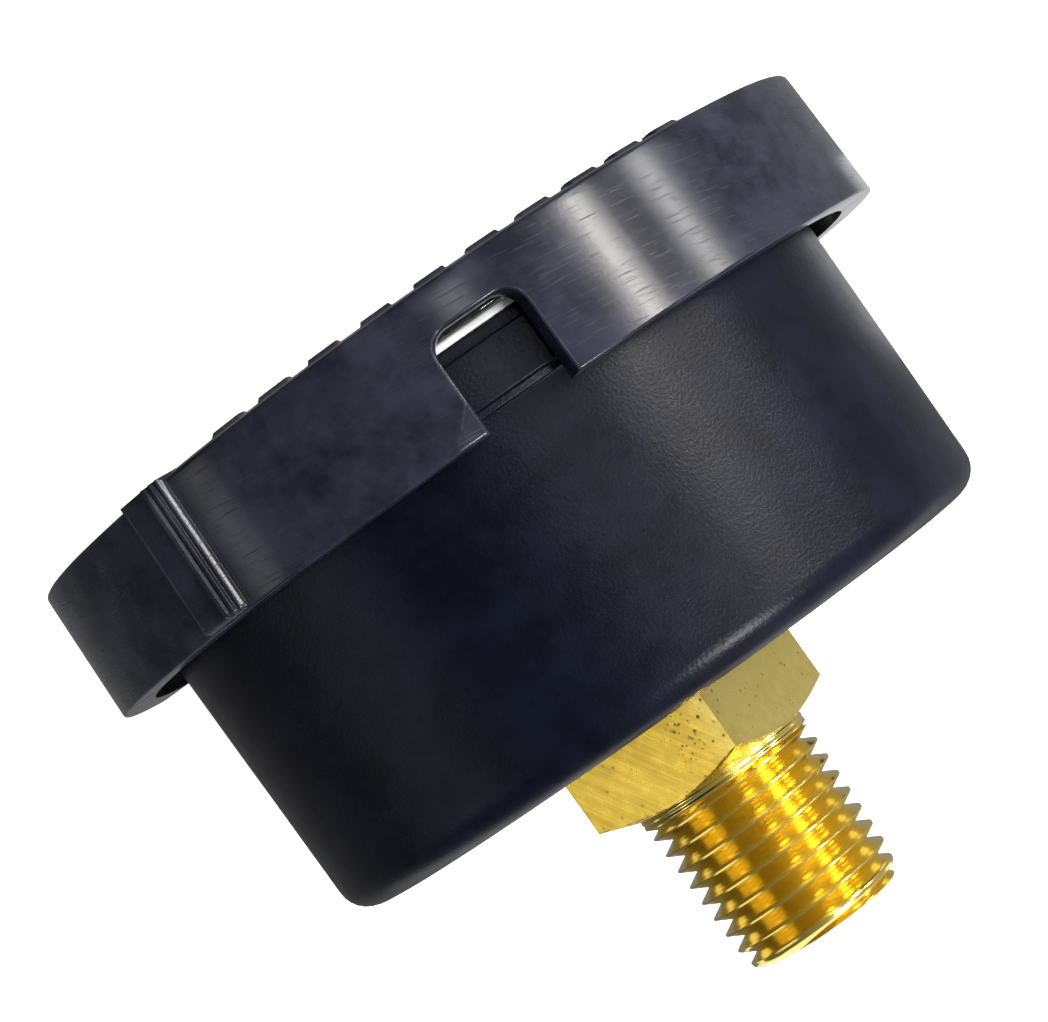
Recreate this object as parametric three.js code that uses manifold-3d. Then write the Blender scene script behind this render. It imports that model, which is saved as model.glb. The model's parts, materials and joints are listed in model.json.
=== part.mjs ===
// Back-connected dial pressure gauge with a plastic clip-on bezel, a C-shaped
// Bourdon tube, a sector-and-pinion movement and a tapered pipe-thread socket.
// Millimetres. The gauge axis is Y: the threaded stub points to +Y and the dial
// looks to -Y, with 12 o'clock at +Z. The origin is the centre of the stub's
// open end. Stations along the axis are distances from that end, named "at".
import * as THREE from 'three';
import { mergeVertices } from 'three/addons/utils/BufferGeometryUtils.js';
import Module from 'manifold-3d';

const wasm = await Module();
wasm.setup();

// ---------------------------------------------------------------- dimensions
const DEG = Math.PI / 180;
const GAP = 0.3;                  // between pieces that touch on the real gauge
const SLIP = 0.15;                // between small pieces and in running fits

// stub and wrench square
const PITCH = 25.4 / 18;          // 1/4-18 NPT
const THREAD_LENGTH = 12.4;
const THREAD_TIP_RADIUS = 6.5;    // crest, at the open end
const THREAD_TAPER = 1 / 32;      // radius per unit of length
const THREAD_DEPTH = 0.8 * PITCH;
const END_CHAMFER = 0.9;
const END_RADIUS = 5.45;
const COLLAR_RADIUS = 6.9;
const SQUARE_AT = 13.4;           // where the turned cone starts
const SQUARE_CORNER_AT = 14.5;
const SQUARE = 14;                // across the flats
const SQUARE_RELIEF = 13.6;      // the same square where it passes the case
const SQUARE_TURN = 10.1;         // a corner's angle from 12 o'clock, degrees
const PORT_RADIUS = 2.3;
const PORT_DEPTH = 12;
const PASSAGE_RADIUS = 1;

// case
const BACK_AT = 19.5;
const CASE_WALL = 1.6;
const CASE_BACK_RADIUS = 27.1;
const CASE_FRONT_RADIUS = 27.4;
const CASE_CORNER = 2.2;
const CASE_BORE = 26;
const CASE_PAD_RADIUS = 15;
const CASE_PAD_AT = 23.4;         // inner face of the thick middle of the back
const BAND_AT = 41.7;               // clip band near the front of the case
const BAND_RADIUS = 29;
const BAND_STEP_AT = 45.8;
const BAND_STEP_RADIUS = 28.6;
const CASE_FRONT_AT = 46.6;

// bezel ring
const BEZEL_AT = 40.5;
const BEZEL_REAR_RADIUS = 32.4;
const BEZEL_FRONT_RADIUS = 32.1;
const BEZEL_SHOULDER_AT = 50.5;
const BEZEL_FRONT_AT = 50.9;
const BEZEL_BORE = 29.8;
const BEZEL_LIP_AT = 49.15;       // rear face of the lip that holds the lens
const WINDOW_RADIUS = 26.3;
const THIRDS = [0, 120, 240];     // the ring's slots, lugs and bars repeat
const HALVES = [0, 180];          // its grips repeat
const SLOT_ANGLE = 6.45;           // middle of a pry slot, degrees from 12 o'clock
const SLOT_HALF = 6.05;
const SLOT_LENGTH = 7.1;
const RAMP_LONG = 2.5;              // along the slot's edge
const RAMP_WIDE = 2.5;            // along the rear edge
const RAMP_DEEP = 0.5;
const GRIP_ANGLE = -38.9;
const GRIP_HALF = 4.1;
const GRIP_RISE = 0.45;
const RIDGE_COUNT = 3;
const RIDGE_OFFSET = 0.9;         // first ridge from the middle of the grip
const RIDGE_STEP = 1.45;
const RIDGE_RISE = 0.3;
const LUG_RADIUS = 28.3;
const LUG_HALF = 9;
const PAD_COUNT = 10;             // raised bars on the front in each third
const PAD_ANGLE = 9.3;            // middle of the bars
const PAD_STEP = 7.9;
const PAD_HALF = 2.2;
const PAD_RISE = 0.25;

// lens, gasket and dial
const GASKET_AT = 46.72;
const GASKET_THICK = 0.56;
const LENS_AT = 47.4;
const LENS_RIM_THICK = 1.6;
const LENS_THICK = 2.1;
const LENS_RADIUS = 28.8;
const DIAL_AT = 44.2;
const DIAL_THICK = 0.6;
const DIAL_RADIUS = 25.3;
const DIAL_SCREW_X = 8.5;

// socket inside the case
const FLANGE_AT = 24.2;
const FLANGE_THICK = 2;
const FLANGE_RADIUS = 12;
const FLANGE_SCREW_RADIUS = 9.8;  // of their circle, opposite two wrench flats
const FLANGE_SCREW_HEAD = 1.7;
const BLOCK_HALF = 6;
const BLOCK_LOW = -21.8;
const BLOCK_HIGH = 7;
const BLOCK_FRONT_AT = 36;

// Bourdon tube
const TUBE_RADIUS = 19;           // of the C, to the middle of the tube
const TUBE_AT = 31;               // middle plane of the tube
const TUBE_WIDE = 7;
const TUBE_THIN = 2.2;
const TUBE_WALL = 0.35;
const TUBE_START = -91.5;         // root, in the socket's block
const TUBE_END = -346;            // free end, near 3 o'clock
const TIP_ANGLE = 8;
const TIP_PIN = [16.5, 1.5];      // x, z of the link's pivot on the tip

// sector and pinion
const MODULE = 0.25;
const PINION_TEETH = 10;
const SECTOR_TEETH = 80;          // on the full circle
const SECTOR_CUT_TEETH = 11;      // really there
const SECTOR_TAIL = 5;
const SECTOR_TAIL_ANGLE = -61.9;
const SECTOR_AT = 38.2;
const SECTOR_THICK = 0.8;
const SECTOR_DIRECTION = 120;     // from the sector's pivot to the pinion
const LINK_AT = 39.25;
const LINK_THICK = 0.4;
const ARBOR_RADIUS = 0.6;
const PINION_AT = 37.6;
const PINION_LONG = 1.8;

// movement frame
const PLATE_THICK = 1;
const REAR_PLATE_AT = 36.15;
const FRONT_PLATE_AT = 41.2;
const PILLAR_RADIUS = 1.2;
const PLATE_HALF = 8.5;
const PLATE_LOW = -5.7;           // behind the sector's pivot
const PLATE_HIGH = 17.4;          // beyond the pinion
const PILLARS = [[-3.5, 5.5], [14.9, 4.6], [14.9, -4.6]];
const MOVEMENT_SCREWS = [[15.5, 0], [2.2, 6.35]];

// hairspring
const SPRING_AT = 40;
const SPRING_WIDE = 0.6;
const SPRING_THIN = 0.2;
const SPRING_INNER = 1.7;
const SPRING_OUTER = 4.1;
const SPRING_TURNS = 3.5;
const SPRING_END_ANGLE = 20;

// pointer
const POINTER_AT = 46;
const POINTER_THICK = 0.4;
const POINTER_REST = 225;         // the zero mark, near half past seven
const POINTER_LONG = 19.5;
const POINTER_TAIL = 7.5;
const STOP_RADIUS = 14;
const STOP_PIN = 0.5;

// ---------------------------------------------------------------- helpers
const place = (at) => -at;
const polar = (radius, degrees) => [
  radius * Math.cos(degrees * DEG),
  radius * Math.sin(degrees * DEG),
];
// clock angles run from 12 o'clock towards 9 o'clock, as seen from the dial
const clock = (degrees) => 90 + degrees;

function meshVolume(positions, triangles) {
  const a = new THREE.Vector3();
  const b = new THREE.Vector3();
  const c = new THREE.Vector3();
  let volume = 0;
  for (let i = 0; i < triangles.length; i += 3) {
    a.fromArray(positions, triangles[i] * 3);
    b.fromArray(positions, triangles[i + 1] * 3);
    c.fromArray(positions, triangles[i + 2] * 3);
    volume += a.dot(b.cross(c)) / 6;
  }
  return volume;
}

// A closed geometry becomes a Manifold solid with its faces pointing out.
function solid(geometry) {
  const bare = geometry.clone();
  bare.deleteAttribute('normal');
  bare.deleteAttribute('uv');
  const merged = mergeVertices(bare, 1e-4);
  const positions = Float32Array.from(merged.attributes.position.array);
  const index = merged.index.array;
  const kept = [];
  for (let i = 0; i < index.length; i += 3) {
    const [p, q, r] = [index[i], index[i + 1], index[i + 2]];
    if (p !== q && q !== r && r !== p) {
      kept.push(p, q, r);
    }
  }
  if (meshVolume(positions, kept) < 0) {
    kept.reverse();
  }
  const mesh = new wasm.Mesh({
    numProp: 3,
    vertProperties: positions,
    triVerts: Uint32Array.from(kept),
  });
  return new wasm.Manifold(mesh);
}

function toGeometry(manifold) {
  const mesh = manifold.getMesh();
  const geometry = new THREE.BufferGeometry();
  geometry.setAttribute('position', new THREE.BufferAttribute(mesh.vertProperties, 3));
  geometry.setIndex(new THREE.BufferAttribute(mesh.triVerts, 1));
  geometry.computeVertexNormals();
  return geometry;
}

// A body of revolution about the gauge axis, from [radius, at] points.
function turned(profile, segments = 48, centre = [0, 0]) {
  const points = profile.map(([radius, at]) => new THREE.Vector2(radius, place(at)));
  points.push(points[0].clone());
  const geometry = new THREE.LatheGeometry(points, segments);
  geometry.translate(centre[0], 0, centre[1]);
  return solid(geometry);
}

// A prism along the gauge axis, from an outline in x and z.
function prism(shape, at, thick, curveSegments = 16) {
  const geometry = new THREE.ExtrudeGeometry(shape, {
    depth: thick,
    bevelEnabled: false,
    curveSegments,
  });
  geometry.rotateX(Math.PI / 2);
  geometry.translate(0, place(at), 0);
  return solid(geometry);
}

function rod(radius, at, thick, centre = [0, 0], segments = 20) {
  const profile = [[0, at], [radius, at], [radius, at + thick], [0, at + thick]];
  return turned(profile, segments, centre);
}

function outline(points) {
  return new THREE.Shape(points.map(([x, z]) => new THREE.Vector2(x, z)));
}

function rectangle(lowX, lowZ, highX, highZ) {
  return outline([[lowX, lowZ], [highX, lowZ], [highX, highZ], [lowX, highZ]]);
}

// A piece of a ring between two radii, centred on an angle in degrees.
function ringPiece(inner, outer, angle, half, at, thick, segments = 6) {
  const from = (angle - half) * DEG;
  const to = (angle + half) * DEG;
  const shape = new THREE.Shape();
  shape.absarc(0, 0, outer, from, to, false);
  shape.absarc(0, 0, inner, to, from, true);
  return prism(shape, at, thick, segments);
}

// Two round ends joined by a straight bar.
function linkShape(a, b, radiusA, radiusB) {
  const direction = Math.atan2(b[1] - a[1], b[0] - a[0]);
  const side = Math.PI / 2;
  const shape = new THREE.Shape();
  shape.absarc(a[0], a[1], radiusA, direction + side, direction - side + 2 * Math.PI, false);
  shape.absarc(b[0], b[1], radiusB, direction - side, direction + side, false);
  return shape;
}

const sum = (pieces) => pieces.reduce((whole, piece) => whole.add(piece));

// ---------------------------------------------------------------- materials
function material(color, roughness, metalness, extra = {}) {
  return new THREE.MeshStandardMaterial({ color, roughness, metalness, ...extra });
}

const finishes = {
  caseBlack: () => material(0x1c1d21, 0.5, 0),
  bezelBlack: () => material(0x17181c, 0.3, 0),
  clear: () => material(0xe8eef0, 0.05, 0, { transparent: true, opacity: 0.35 }),
  whiteRubber: () => material(0xe9e9e4, 0.7, 0),
  darkRubber: () => material(0x222222, 0.8, 0),
  dialWhite: () => material(0xf2f2ee, 0.6, 0),
  pointerBlack: () => material(0x141414, 0.4, 0.2),
  brass: () => material(0xc8a23c, 0.3, 1),
  bronze: () => material(0xb98a48, 0.35, 1),
  steel: () => material(0xb9bcc0, 0.3, 1),
};

const gauge = new THREE.Group();

function piece(name, manifold, finish) {
  const mesh = new THREE.Mesh(toGeometry(manifold), finishes[finish]());
  mesh.name = name;
  gauge.add(mesh);
}

// ---------------------------------------------------------------- socket
// The thread's surface is a grid sheared along the helix: column i stands at
// its own angle, row j at its own place in the pitch, and the last column
// meets the first one pitch further on.
function threadBody() {
  const columns = 24;
  const fractions = [0, 0.1, 0.55];
  const depths = [0, 0, THREAD_DEPTH];
  const rows = fractions.length;
  const turns = Math.ceil(THREAD_LENGTH / PITCH) + 2;
  const last = turns * rows;
  const start = -2 * PITCH;
  const positions = [];
  const triangles = [];
  const columnStarts = [];
  for (let i = 0; i < columns; i += 1) {
    columnStarts.push(positions.length / 3);
    const count = i === 0 ? last + rows : last;
    for (let j = 0; j <= count; j += 1) {
      const turn = Math.floor(j / rows) + fractions[j % rows] + i / columns;
      const at = start + PITCH * turn;
      const radius = THREAD_TIP_RADIUS + at * THREAD_TAPER - depths[j % rows];
      const [x, z] = polar(radius, (360 * i) / columns);
      positions.push(x, place(at), z);
    }
  }
  const vertex = (i, j) => (i < columns ? columnStarts[i] + j : columnStarts[0] + j + rows);
  for (let i = 0; i < columns; i += 1) {
    for (let j = 0; j < last; j += 1) {
      triangles.push(vertex(i, j), vertex(i + 1, j), vertex(i + 1, j + 1));
      triangles.push(vertex(i, j), vertex(i + 1, j + 1), vertex(i, j + 1));
    }
  }
  const centres = [start, start + PITCH * (turns + 1)].map((at) => {
    positions.push(0, place(at), 0);
    return positions.length / 3 - 1;
  });
  const edge = (row) => {
    const loop = [];
    for (let i = 0; i <= columns; i += 1) {
      loop.push(vertex(i, row));
    }
    for (let j = rows - 1; j > 0; j -= 1) {
      loop.push(vertex(0, row + j));
    }
    return loop;
  };
  [edge(0), edge(last)].forEach((loop, side) => {
    loop.forEach((from, k) => {
      const to = loop[(k + 1) % loop.length];
      const fan = side === 0 ? [to, from, centres[0]] : [from, to, centres[1]];
      triangles.push(...fan);
    });
  });
  const geometry = new THREE.BufferGeometry();
  geometry.setAttribute('position', new THREE.Float32BufferAttribute(positions, 3));
  geometry.setIndex(triangles);
  return solid(geometry);
}

function stub() {
  const chamferRadius = THREAD_TIP_RADIUS + END_CHAMFER * THREAD_TAPER;
  const trim = turned([
    [0, 0],
    [END_RADIUS, 0],
    [chamferRadius, END_CHAMFER],
    [COLLAR_RADIUS + 0.1, END_CHAMFER * 2],
    [COLLAR_RADIUS + 0.1, THREAD_LENGTH],
    [0, THREAD_LENGTH],
  ], 24);
  const collar = turned([
    [0, THREAD_LENGTH - 0.5],
    [THREAD_TIP_RADIUS - THREAD_DEPTH, THREAD_LENGTH - 0.5],
    [COLLAR_RADIUS, THREAD_LENGTH + 0.2],
    [COLLAR_RADIUS, SQUARE_AT + 0.1],
    [0, SQUARE_AT + 0.1],
  ], 24);
  return threadBody().intersect(trim).add(collar);
}

function squareShape(across) {
  const corner = across / Math.SQRT2;
  const angles = [0, 90, 180, 270].map((turn) => clock(SQUARE_TURN) + turn);
  return outline(angles.map((angle) => polar(corner, angle)));
}

function wrenchSquare() {
  const corner = SQUARE / Math.SQRT2;
  const end = BACK_AT - SLIP;
  const cone = turned([
    [0, SQUARE_AT],
    [COLLAR_RADIUS, SQUARE_AT],
    [corner + 0.1, SQUARE_CORNER_AT],
    [corner + 0.1, end],
    [0, end],
  ], 36);
  const square = prism(squareShape(SQUARE), SQUARE_AT, end - SQUARE_AT).intersect(cone);
  const relief = prism(squareShape(SQUARE_RELIEF), end - 0.1, FLANGE_AT + 0.6 - end);
  return square.add(relief);
}

function flangeScrewSpots() {
  const angle = clock(SQUARE_TURN + 45);
  return [angle, angle + 180].map((turn) => polar(FLANGE_SCREW_RADIUS, turn));
}

function tubePath(from, to) {
  class Arc extends THREE.Curve {
    getPoint(t) {
      const [x, z] = polar(TUBE_RADIUS, from + (to - from) * t);
      return new THREE.Vector3(x, place(TUBE_AT), z);
    }
  }
  return new Arc();
}

// The flattened tube's outline: straight sides with round edges. The swept
// shape's x lies along the gauge axis and its y across the coil.
function tubeOutline(grow) {
  const radius = TUBE_THIN / 2 + grow;
  const straight = (TUBE_WIDE - TUBE_THIN) / 2;
  const shape = new THREE.Shape();
  shape.absarc(straight, 0, radius, -Math.PI / 2, Math.PI / 2, false);
  shape.absarc(-straight, 0, radius, Math.PI / 2, 1.5 * Math.PI, false);
  return shape;
}

function tubeSweep(shape, from, to, steps) {
  const geometry = new THREE.ExtrudeGeometry(shape, {
    steps,
    extrudePath: tubePath(from, to),
    curveSegments: 3,
  });
  return solid(geometry);
}

function buildSocket() {
  const flange = turned([
    [0, FLANGE_AT],
    [FLANGE_RADIUS, FLANGE_AT],
    [FLANGE_RADIUS, FLANGE_AT + FLANGE_THICK],
    [0, FLANGE_AT + FLANGE_THICK],
  ], 36);
  const block = prism(
    rectangle(-BLOCK_HALF, BLOCK_LOW, BLOCK_HALF, BLOCK_HIGH),
    FLANGE_AT + 0.5,
    BLOCK_FRONT_AT - FLANGE_AT - 0.5,
  );
  const body = sum([stub(), wrenchSquare(), flange, block]);
  const pocket = tubeSweep(tubeOutline(SLIP), -88.5, -110, 5);
  const port = rod(PORT_RADIUS, -1, PORT_DEPTH + 1);
  const passage = rod(PASSAGE_RADIUS, PORT_DEPTH - 1, TUBE_AT + PASSAGE_RADIUS - PORT_DEPTH + 1);
  const crossDrill = solid(
    new THREE.CylinderGeometry(PASSAGE_RADIUS * 0.7, PASSAGE_RADIUS * 0.7, TUBE_RADIUS, 12)
      .rotateX(Math.PI / 2)
      .translate(0, place(TUBE_AT), -TUBE_RADIUS / 2),
  );
  const holes = flangeScrewSpots().map((spot) => rod(1.35, FLANGE_AT - 1, FLANGE_THICK + 2, spot));
  MOVEMENT_SCREWS.forEach((spot) => {
    holes.push(rod(0.95, BLOCK_FRONT_AT - 3.6, 4, plateSpot(spot)));
  });
  const cuts = sum([port, passage, crossDrill, ...holes]);
  piece('socket', body.subtract(pocket).subtract(cuts), 'brass');
}

function buildRestrictor() {
  const at = 6;
  const long = 3;
  const slot = prism(rectangle(-PORT_RADIUS, -0.35, PORT_RADIUS, 0.35), at - 1, 1.8);
  const orifice = rod(0.35, at - 1, long + 2, [0, 0], 12);
  const plug = rod(PORT_RADIUS - SLIP, at, long);
  piece('restrictor_screw', plug.subtract(slot).subtract(orifice), 'brass');
}

// ---------------------------------------------------------------- case
function buildCase() {
  const corner = [];
  for (let step = 0; step <= 3; step += 1) {
    const [x, z] = polar(CASE_CORNER, -90 + 30 * step);
    corner.push([CASE_BACK_RADIUS - CASE_CORNER + x, BACK_AT + CASE_CORNER + z]);
  }
  const floorAt = BACK_AT + CASE_WALL;
  const shell = turned([
    [0, BACK_AT],
    ...corner,
    [CASE_FRONT_RADIUS, BAND_AT],
    [BAND_RADIUS, BAND_AT],
    [BAND_RADIUS, BAND_STEP_AT],
    [BAND_STEP_RADIUS, BAND_STEP_AT],
    [BAND_STEP_RADIUS, CASE_FRONT_AT],
    [CASE_BORE, CASE_FRONT_AT],
    [CASE_BORE, floorAt + 1],
    [CASE_BORE - 1, floorAt],
    [CASE_PAD_RADIUS, floorAt],
    [CASE_PAD_RADIUS - 0.5, CASE_PAD_AT],
    [0, CASE_PAD_AT],
  ], 48);
  const window = prism(squareShape(SQUARE + 2 * GAP), BACK_AT - 1, CASE_PAD_AT - BACK_AT + 2);
  const screwHoles = flangeScrewSpots().map((spot) => rod(1.15, CASE_PAD_AT - 3, 4, spot));
  piece('case', shell.subtract(window).subtract(sum(screwHoles)), 'caseBlack');
}

function buildSocketGasket() {
  const at = CASE_PAD_AT + SLIP;
  const ring = rod(FLANGE_RADIUS, at, 0.5, [0, 0], 32);
  const window = prism(squareShape(SQUARE + 2 * GAP), at - 1, 3);
  const holes = flangeScrewSpots().map((spot) => rod(1.35, at - 1, 3, spot));
  piece('socket_gasket', ring.subtract(window).subtract(sum(holes)), 'darkRubber');
}

// A pan-head screw with a cross slot. Its head looks to the dial side.
function screw(name, spot, headAt, headRadius, headThick, shankRadius, shankLong, finish) {
  const head = turned([
    [0, headAt],
    [headRadius, headAt],
    [headRadius, headAt + headThick * 0.6],
    [headRadius * 0.75, headAt + headThick],
    [0, headAt + headThick],
  ], 12, spot);
  const shank = turned([
    [0, headAt - shankLong],
    [shankRadius * 0.6, headAt - shankLong],
    [shankRadius, headAt - shankLong + shankRadius * 0.6],
    [shankRadius, headAt + headThick / 2],
    [0, headAt + headThick / 2],
  ], 8, spot);
  const [x, z] = spot;
  const half = headRadius * 0.16;
  const slotAt = headAt + headThick * 0.6;
  const across = rectangle(x - headRadius, z - half, x + headRadius, z + half);
  const slot = prism(across, slotAt, headThick);
  piece(name, head.add(shank).subtract(slot), finish);
}

// ---------------------------------------------------------------- bezel
// A flat ramp cut across the slot's corner at the rear edge, for a screwdriver.
function pryRamp(third) {
  const normal = new THREE.Vector3(
    -RAMP_LONG * RAMP_DEEP,
    RAMP_WIDE * RAMP_DEEP,
    RAMP_LONG * RAMP_WIDE,
  ).normalize();
  const tilt = new THREE.Quaternion().setFromUnitVectors(new THREE.Vector3(0, 0, 1), normal);
  const reach = 3 * RAMP_LONG;
  const cut = new THREE.BoxGeometry(reach, reach, 4);
  cut.translate(0, 0, 2);
  cut.applyQuaternion(tilt);
  cut.translate(0, place(BEZEL_AT), BEZEL_REAR_RADIUS - RAMP_DEEP);
  cut.rotateY(-(SLOT_ANGLE - SLOT_HALF + third) * DEG);
  return solid(cut);
}

function buildBezel() {
  const ring = turned([
    [BEZEL_BORE, BEZEL_AT],
    [BEZEL_REAR_RADIUS - 0.2, BEZEL_AT],
    [BEZEL_REAR_RADIUS, BEZEL_AT + 0.2],
    [BEZEL_FRONT_RADIUS, BEZEL_SHOULDER_AT - 0.2],
    [BEZEL_FRONT_RADIUS - 0.4, BEZEL_SHOULDER_AT + 0.1],
    [29.4, BEZEL_FRONT_AT],
    [27.2, BEZEL_FRONT_AT - 0.1],
    [WINDOW_RADIUS, BEZEL_SHOULDER_AT],
    [WINDOW_RADIUS, BEZEL_LIP_AT],
    [BEZEL_BORE, BEZEL_LIP_AT],
  ], 60);
  const added = [];
  const cuts = [];
  HALVES.forEach((half) => {
    const grip = clock(GRIP_ANGLE + half);
    const long = BEZEL_FRONT_AT - BEZEL_AT - 0.3;
    const land = BEZEL_REAR_RADIUS + GRIP_RISE;
    added.push(ringPiece(31, land, grip, GRIP_HALF, BEZEL_AT + 0.2, long, 2));
    for (let k = 0; k < RIDGE_COUNT; k += 1) {
      const angle = clock(GRIP_ANGLE + half + RIDGE_OFFSET + RIDGE_STEP * k);
      added.push(ringPiece(31.8, land + RIDGE_RISE, angle, 0.3, BEZEL_AT + 0.2, long, 1));
    }
  });
  THIRDS.forEach((third) => {
    for (let k = 0; k < PAD_COUNT; k += 1) {
      const middle = PAD_ANGLE + third + PAD_STEP * (k - (PAD_COUNT - 1) / 2);
      const thick = BEZEL_FRONT_AT + PAD_RISE - BEZEL_SHOULDER_AT;
      added.push(ringPiece(28.6, 30.2, clock(middle), PAD_HALF, BEZEL_SHOULDER_AT, thick, 1));
    }
    const lug = clock(SLOT_ANGLE + 60 + third);
    added.push(ringPiece(LUG_RADIUS, BEZEL_BORE + 0.5, lug, LUG_HALF, BEZEL_AT + 0.35, 0.7, 3));
    const slot = clock(SLOT_ANGLE + third);
    cuts.push(ringPiece(28, 35, slot, SLOT_HALF, BEZEL_AT - 1, SLOT_LENGTH + 1, 2));
    cuts.push(pryRamp(third));
  });
  piece('bezel_ring', ring.add(sum(added)).subtract(sum(cuts)), 'bezelBlack');
}

function buildLens() {
  piece('lens', turned([
    [0, LENS_AT],
    [LENS_RADIUS, LENS_AT],
    [LENS_RADIUS, LENS_AT + LENS_RIM_THICK],
    [WINDOW_RADIUS - GAP, LENS_AT + LENS_RIM_THICK],
    [WINDOW_RADIUS - GAP - 0.5, LENS_AT + LENS_THICK],
    [0, LENS_AT + LENS_THICK],
  ], 40), 'clear');
  piece('lens_gasket', turned([
    [CASE_BORE + 0.3, GASKET_AT],
    [BAND_STEP_RADIUS, GASKET_AT],
    [BAND_STEP_RADIUS, GASKET_AT + GASKET_THICK],
    [CASE_BORE + 0.3, GASKET_AT + GASKET_THICK],
  ], 40), 'whiteRubber');
}

// ---------------------------------------------------------------- movement
const PINION_PITCH_RADIUS = (MODULE * PINION_TEETH) / 2;
const SECTOR_PITCH_RADIUS = (MODULE * SECTOR_TEETH) / 2;
const PIVOT = polar(PINION_PITCH_RADIUS + SECTOR_PITCH_RADIUS, SECTOR_DIRECTION - 180);

// A spot on the movement's plates: along the line from the sector's pivot to
// the pinion, and to the left of that line.
function plateSpot([along, left]) {
  const [ax, az] = polar(along, SECTOR_DIRECTION);
  const [lx, lz] = polar(left, SECTOR_DIRECTION + 90);
  return [PIVOT[0] + ax + lx, PIVOT[1] + az + lz];
}

// Tooth flanks as radius and half-angle in pitches, root to tip.
function toothFlank(pitchRadius, addendum, dedendum, share) {
  return [
    [pitchRadius - dedendum, share + 0.1],
    [pitchRadius - dedendum * 0.3, share + 0.03],
    [pitchRadius, share],
    [pitchRadius + addendum, share - 0.1],
  ];
}

function toothPoints(flank, angle, step, centre) {
  const points = [];
  flank.forEach(([radius, half]) => {
    const [x, z] = polar(radius, angle - half * step);
    points.push([centre[0] + x, centre[1] + z]);
  });
  [...flank].reverse().forEach(([radius, half]) => {
    const [x, z] = polar(radius, angle + half * step);
    points.push([centre[0] + x, centre[1] + z]);
  });
  return points;
}

function buildPinion() {
  const step = 360 / PINION_TEETH;
  const flank = toothFlank(PINION_PITCH_RADIUS, MODULE * 0.8, MODULE * 1.3, 0.2);
  const points = [];
  for (let k = 0; k < PINION_TEETH; k += 1) {
    const angle = SECTOR_DIRECTION - 180 + step * (k + 0.5);
    points.push(...toothPoints(flank, angle, step, [0, 0]));
  }
  const teeth = prism(outline(points), PINION_AT, PINION_LONG);
  const shaft = rod(ARBOR_RADIUS, REAR_PLATE_AT + 0.1, 46.8 - REAR_PLATE_AT - 0.1, [0, 0], 16);
  piece('pinion_arbor', teeth.add(shaft), 'steel');
}

function tailSpot() {
  const [x, z] = polar(SECTOR_TAIL, SECTOR_TAIL_ANGLE);
  return [PIVOT[0] + x, PIVOT[1] + z];
}

function buildSector() {
  const step = 360 / SECTOR_TEETH;
  const flank = toothFlank(SECTOR_PITCH_RADIUS, MODULE * 0.8, MODULE * 1.3, 0.2);
  const highest = SECTOR_DIRECTION + step;
  const lowest = highest - step * (SECTOR_CUT_TEETH - 1);
  const rimPoints = [];
  for (let k = 0; k < SECTOR_CUT_TEETH; k += 1) {
    rimPoints.push(...toothPoints(flank, lowest + step * k, step, PIVOT));
  }
  const inner = SECTOR_PITCH_RADIUS - 1.8;
  for (let k = 0; k <= 8; k += 1) {
    const angle = highest + step * 0.45 + ((lowest - highest - step * 0.9) * k) / 8;
    const [x, z] = polar(inner, angle);
    rimPoints.push([PIVOT[0] + x, PIVOT[1] + z]);
  }
  const rim = prism(outline(rimPoints), SECTOR_AT, SECTOR_THICK);
  const spokes = [highest - 2, lowest + 2].map((angle) => {
    const [x, z] = polar(inner + 0.5, angle);
    const end = [PIVOT[0] + x, PIVOT[1] + z];
    return prism(linkShape(PIVOT, end, 1.2, 0.6), SECTOR_AT, SECTOR_THICK, 6);
  });
  const tail = prism(linkShape(PIVOT, tailSpot(), 2, 1.2), SECTOR_AT, SECTOR_THICK, 8);
  const holes = rod(ARBOR_RADIUS + 0.1, SECTOR_AT - 1, 3, PIVOT, 16)
    .add(rod(0.65, SECTOR_AT - 1, 3, tailSpot(), 12));
  piece('sector_gear', sum([rim, ...spokes, tail]).subtract(holes), 'brass');
  const from = REAR_PLATE_AT + 0.1;
  const long = FRONT_PLATE_AT + PLATE_THICK - 0.1 - from;
  piece('sector_arbor', rod(ARBOR_RADIUS, from, long, PIVOT, 16), 'steel');
}

function buildLink() {
  const bar = prism(linkShape(tailSpot(), TIP_PIN, 1.1, 1.1), LINK_AT, LINK_THICK, 8);
  const holes = [tailSpot(), TIP_PIN].map((spot) => rod(0.6, LINK_AT - 1, 3, spot, 12));
  piece('link_bar', bar.subtract(sum(holes)), 'brass');
  // shouldered rivets that hold the link in the sector's tail and the tip's ear
  const rivet = (name, spot, from) => {
    piece(name, turned([
      [0, from],
      [0.5, from],
      [0.5, LINK_AT + LINK_THICK + 0.05],
      [0.9, LINK_AT + LINK_THICK + 0.05],
      [0.9, LINK_AT + LINK_THICK + 0.3],
      [0, LINK_AT + LINK_THICK + 0.3],
    ], 12, spot), 'steel');
  };
  rivet('link_pin_tail', tailSpot(), SECTOR_AT + 0.05);
  rivet('link_pin_tip', TIP_PIN, LINK_AT - 0.9);
}

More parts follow.
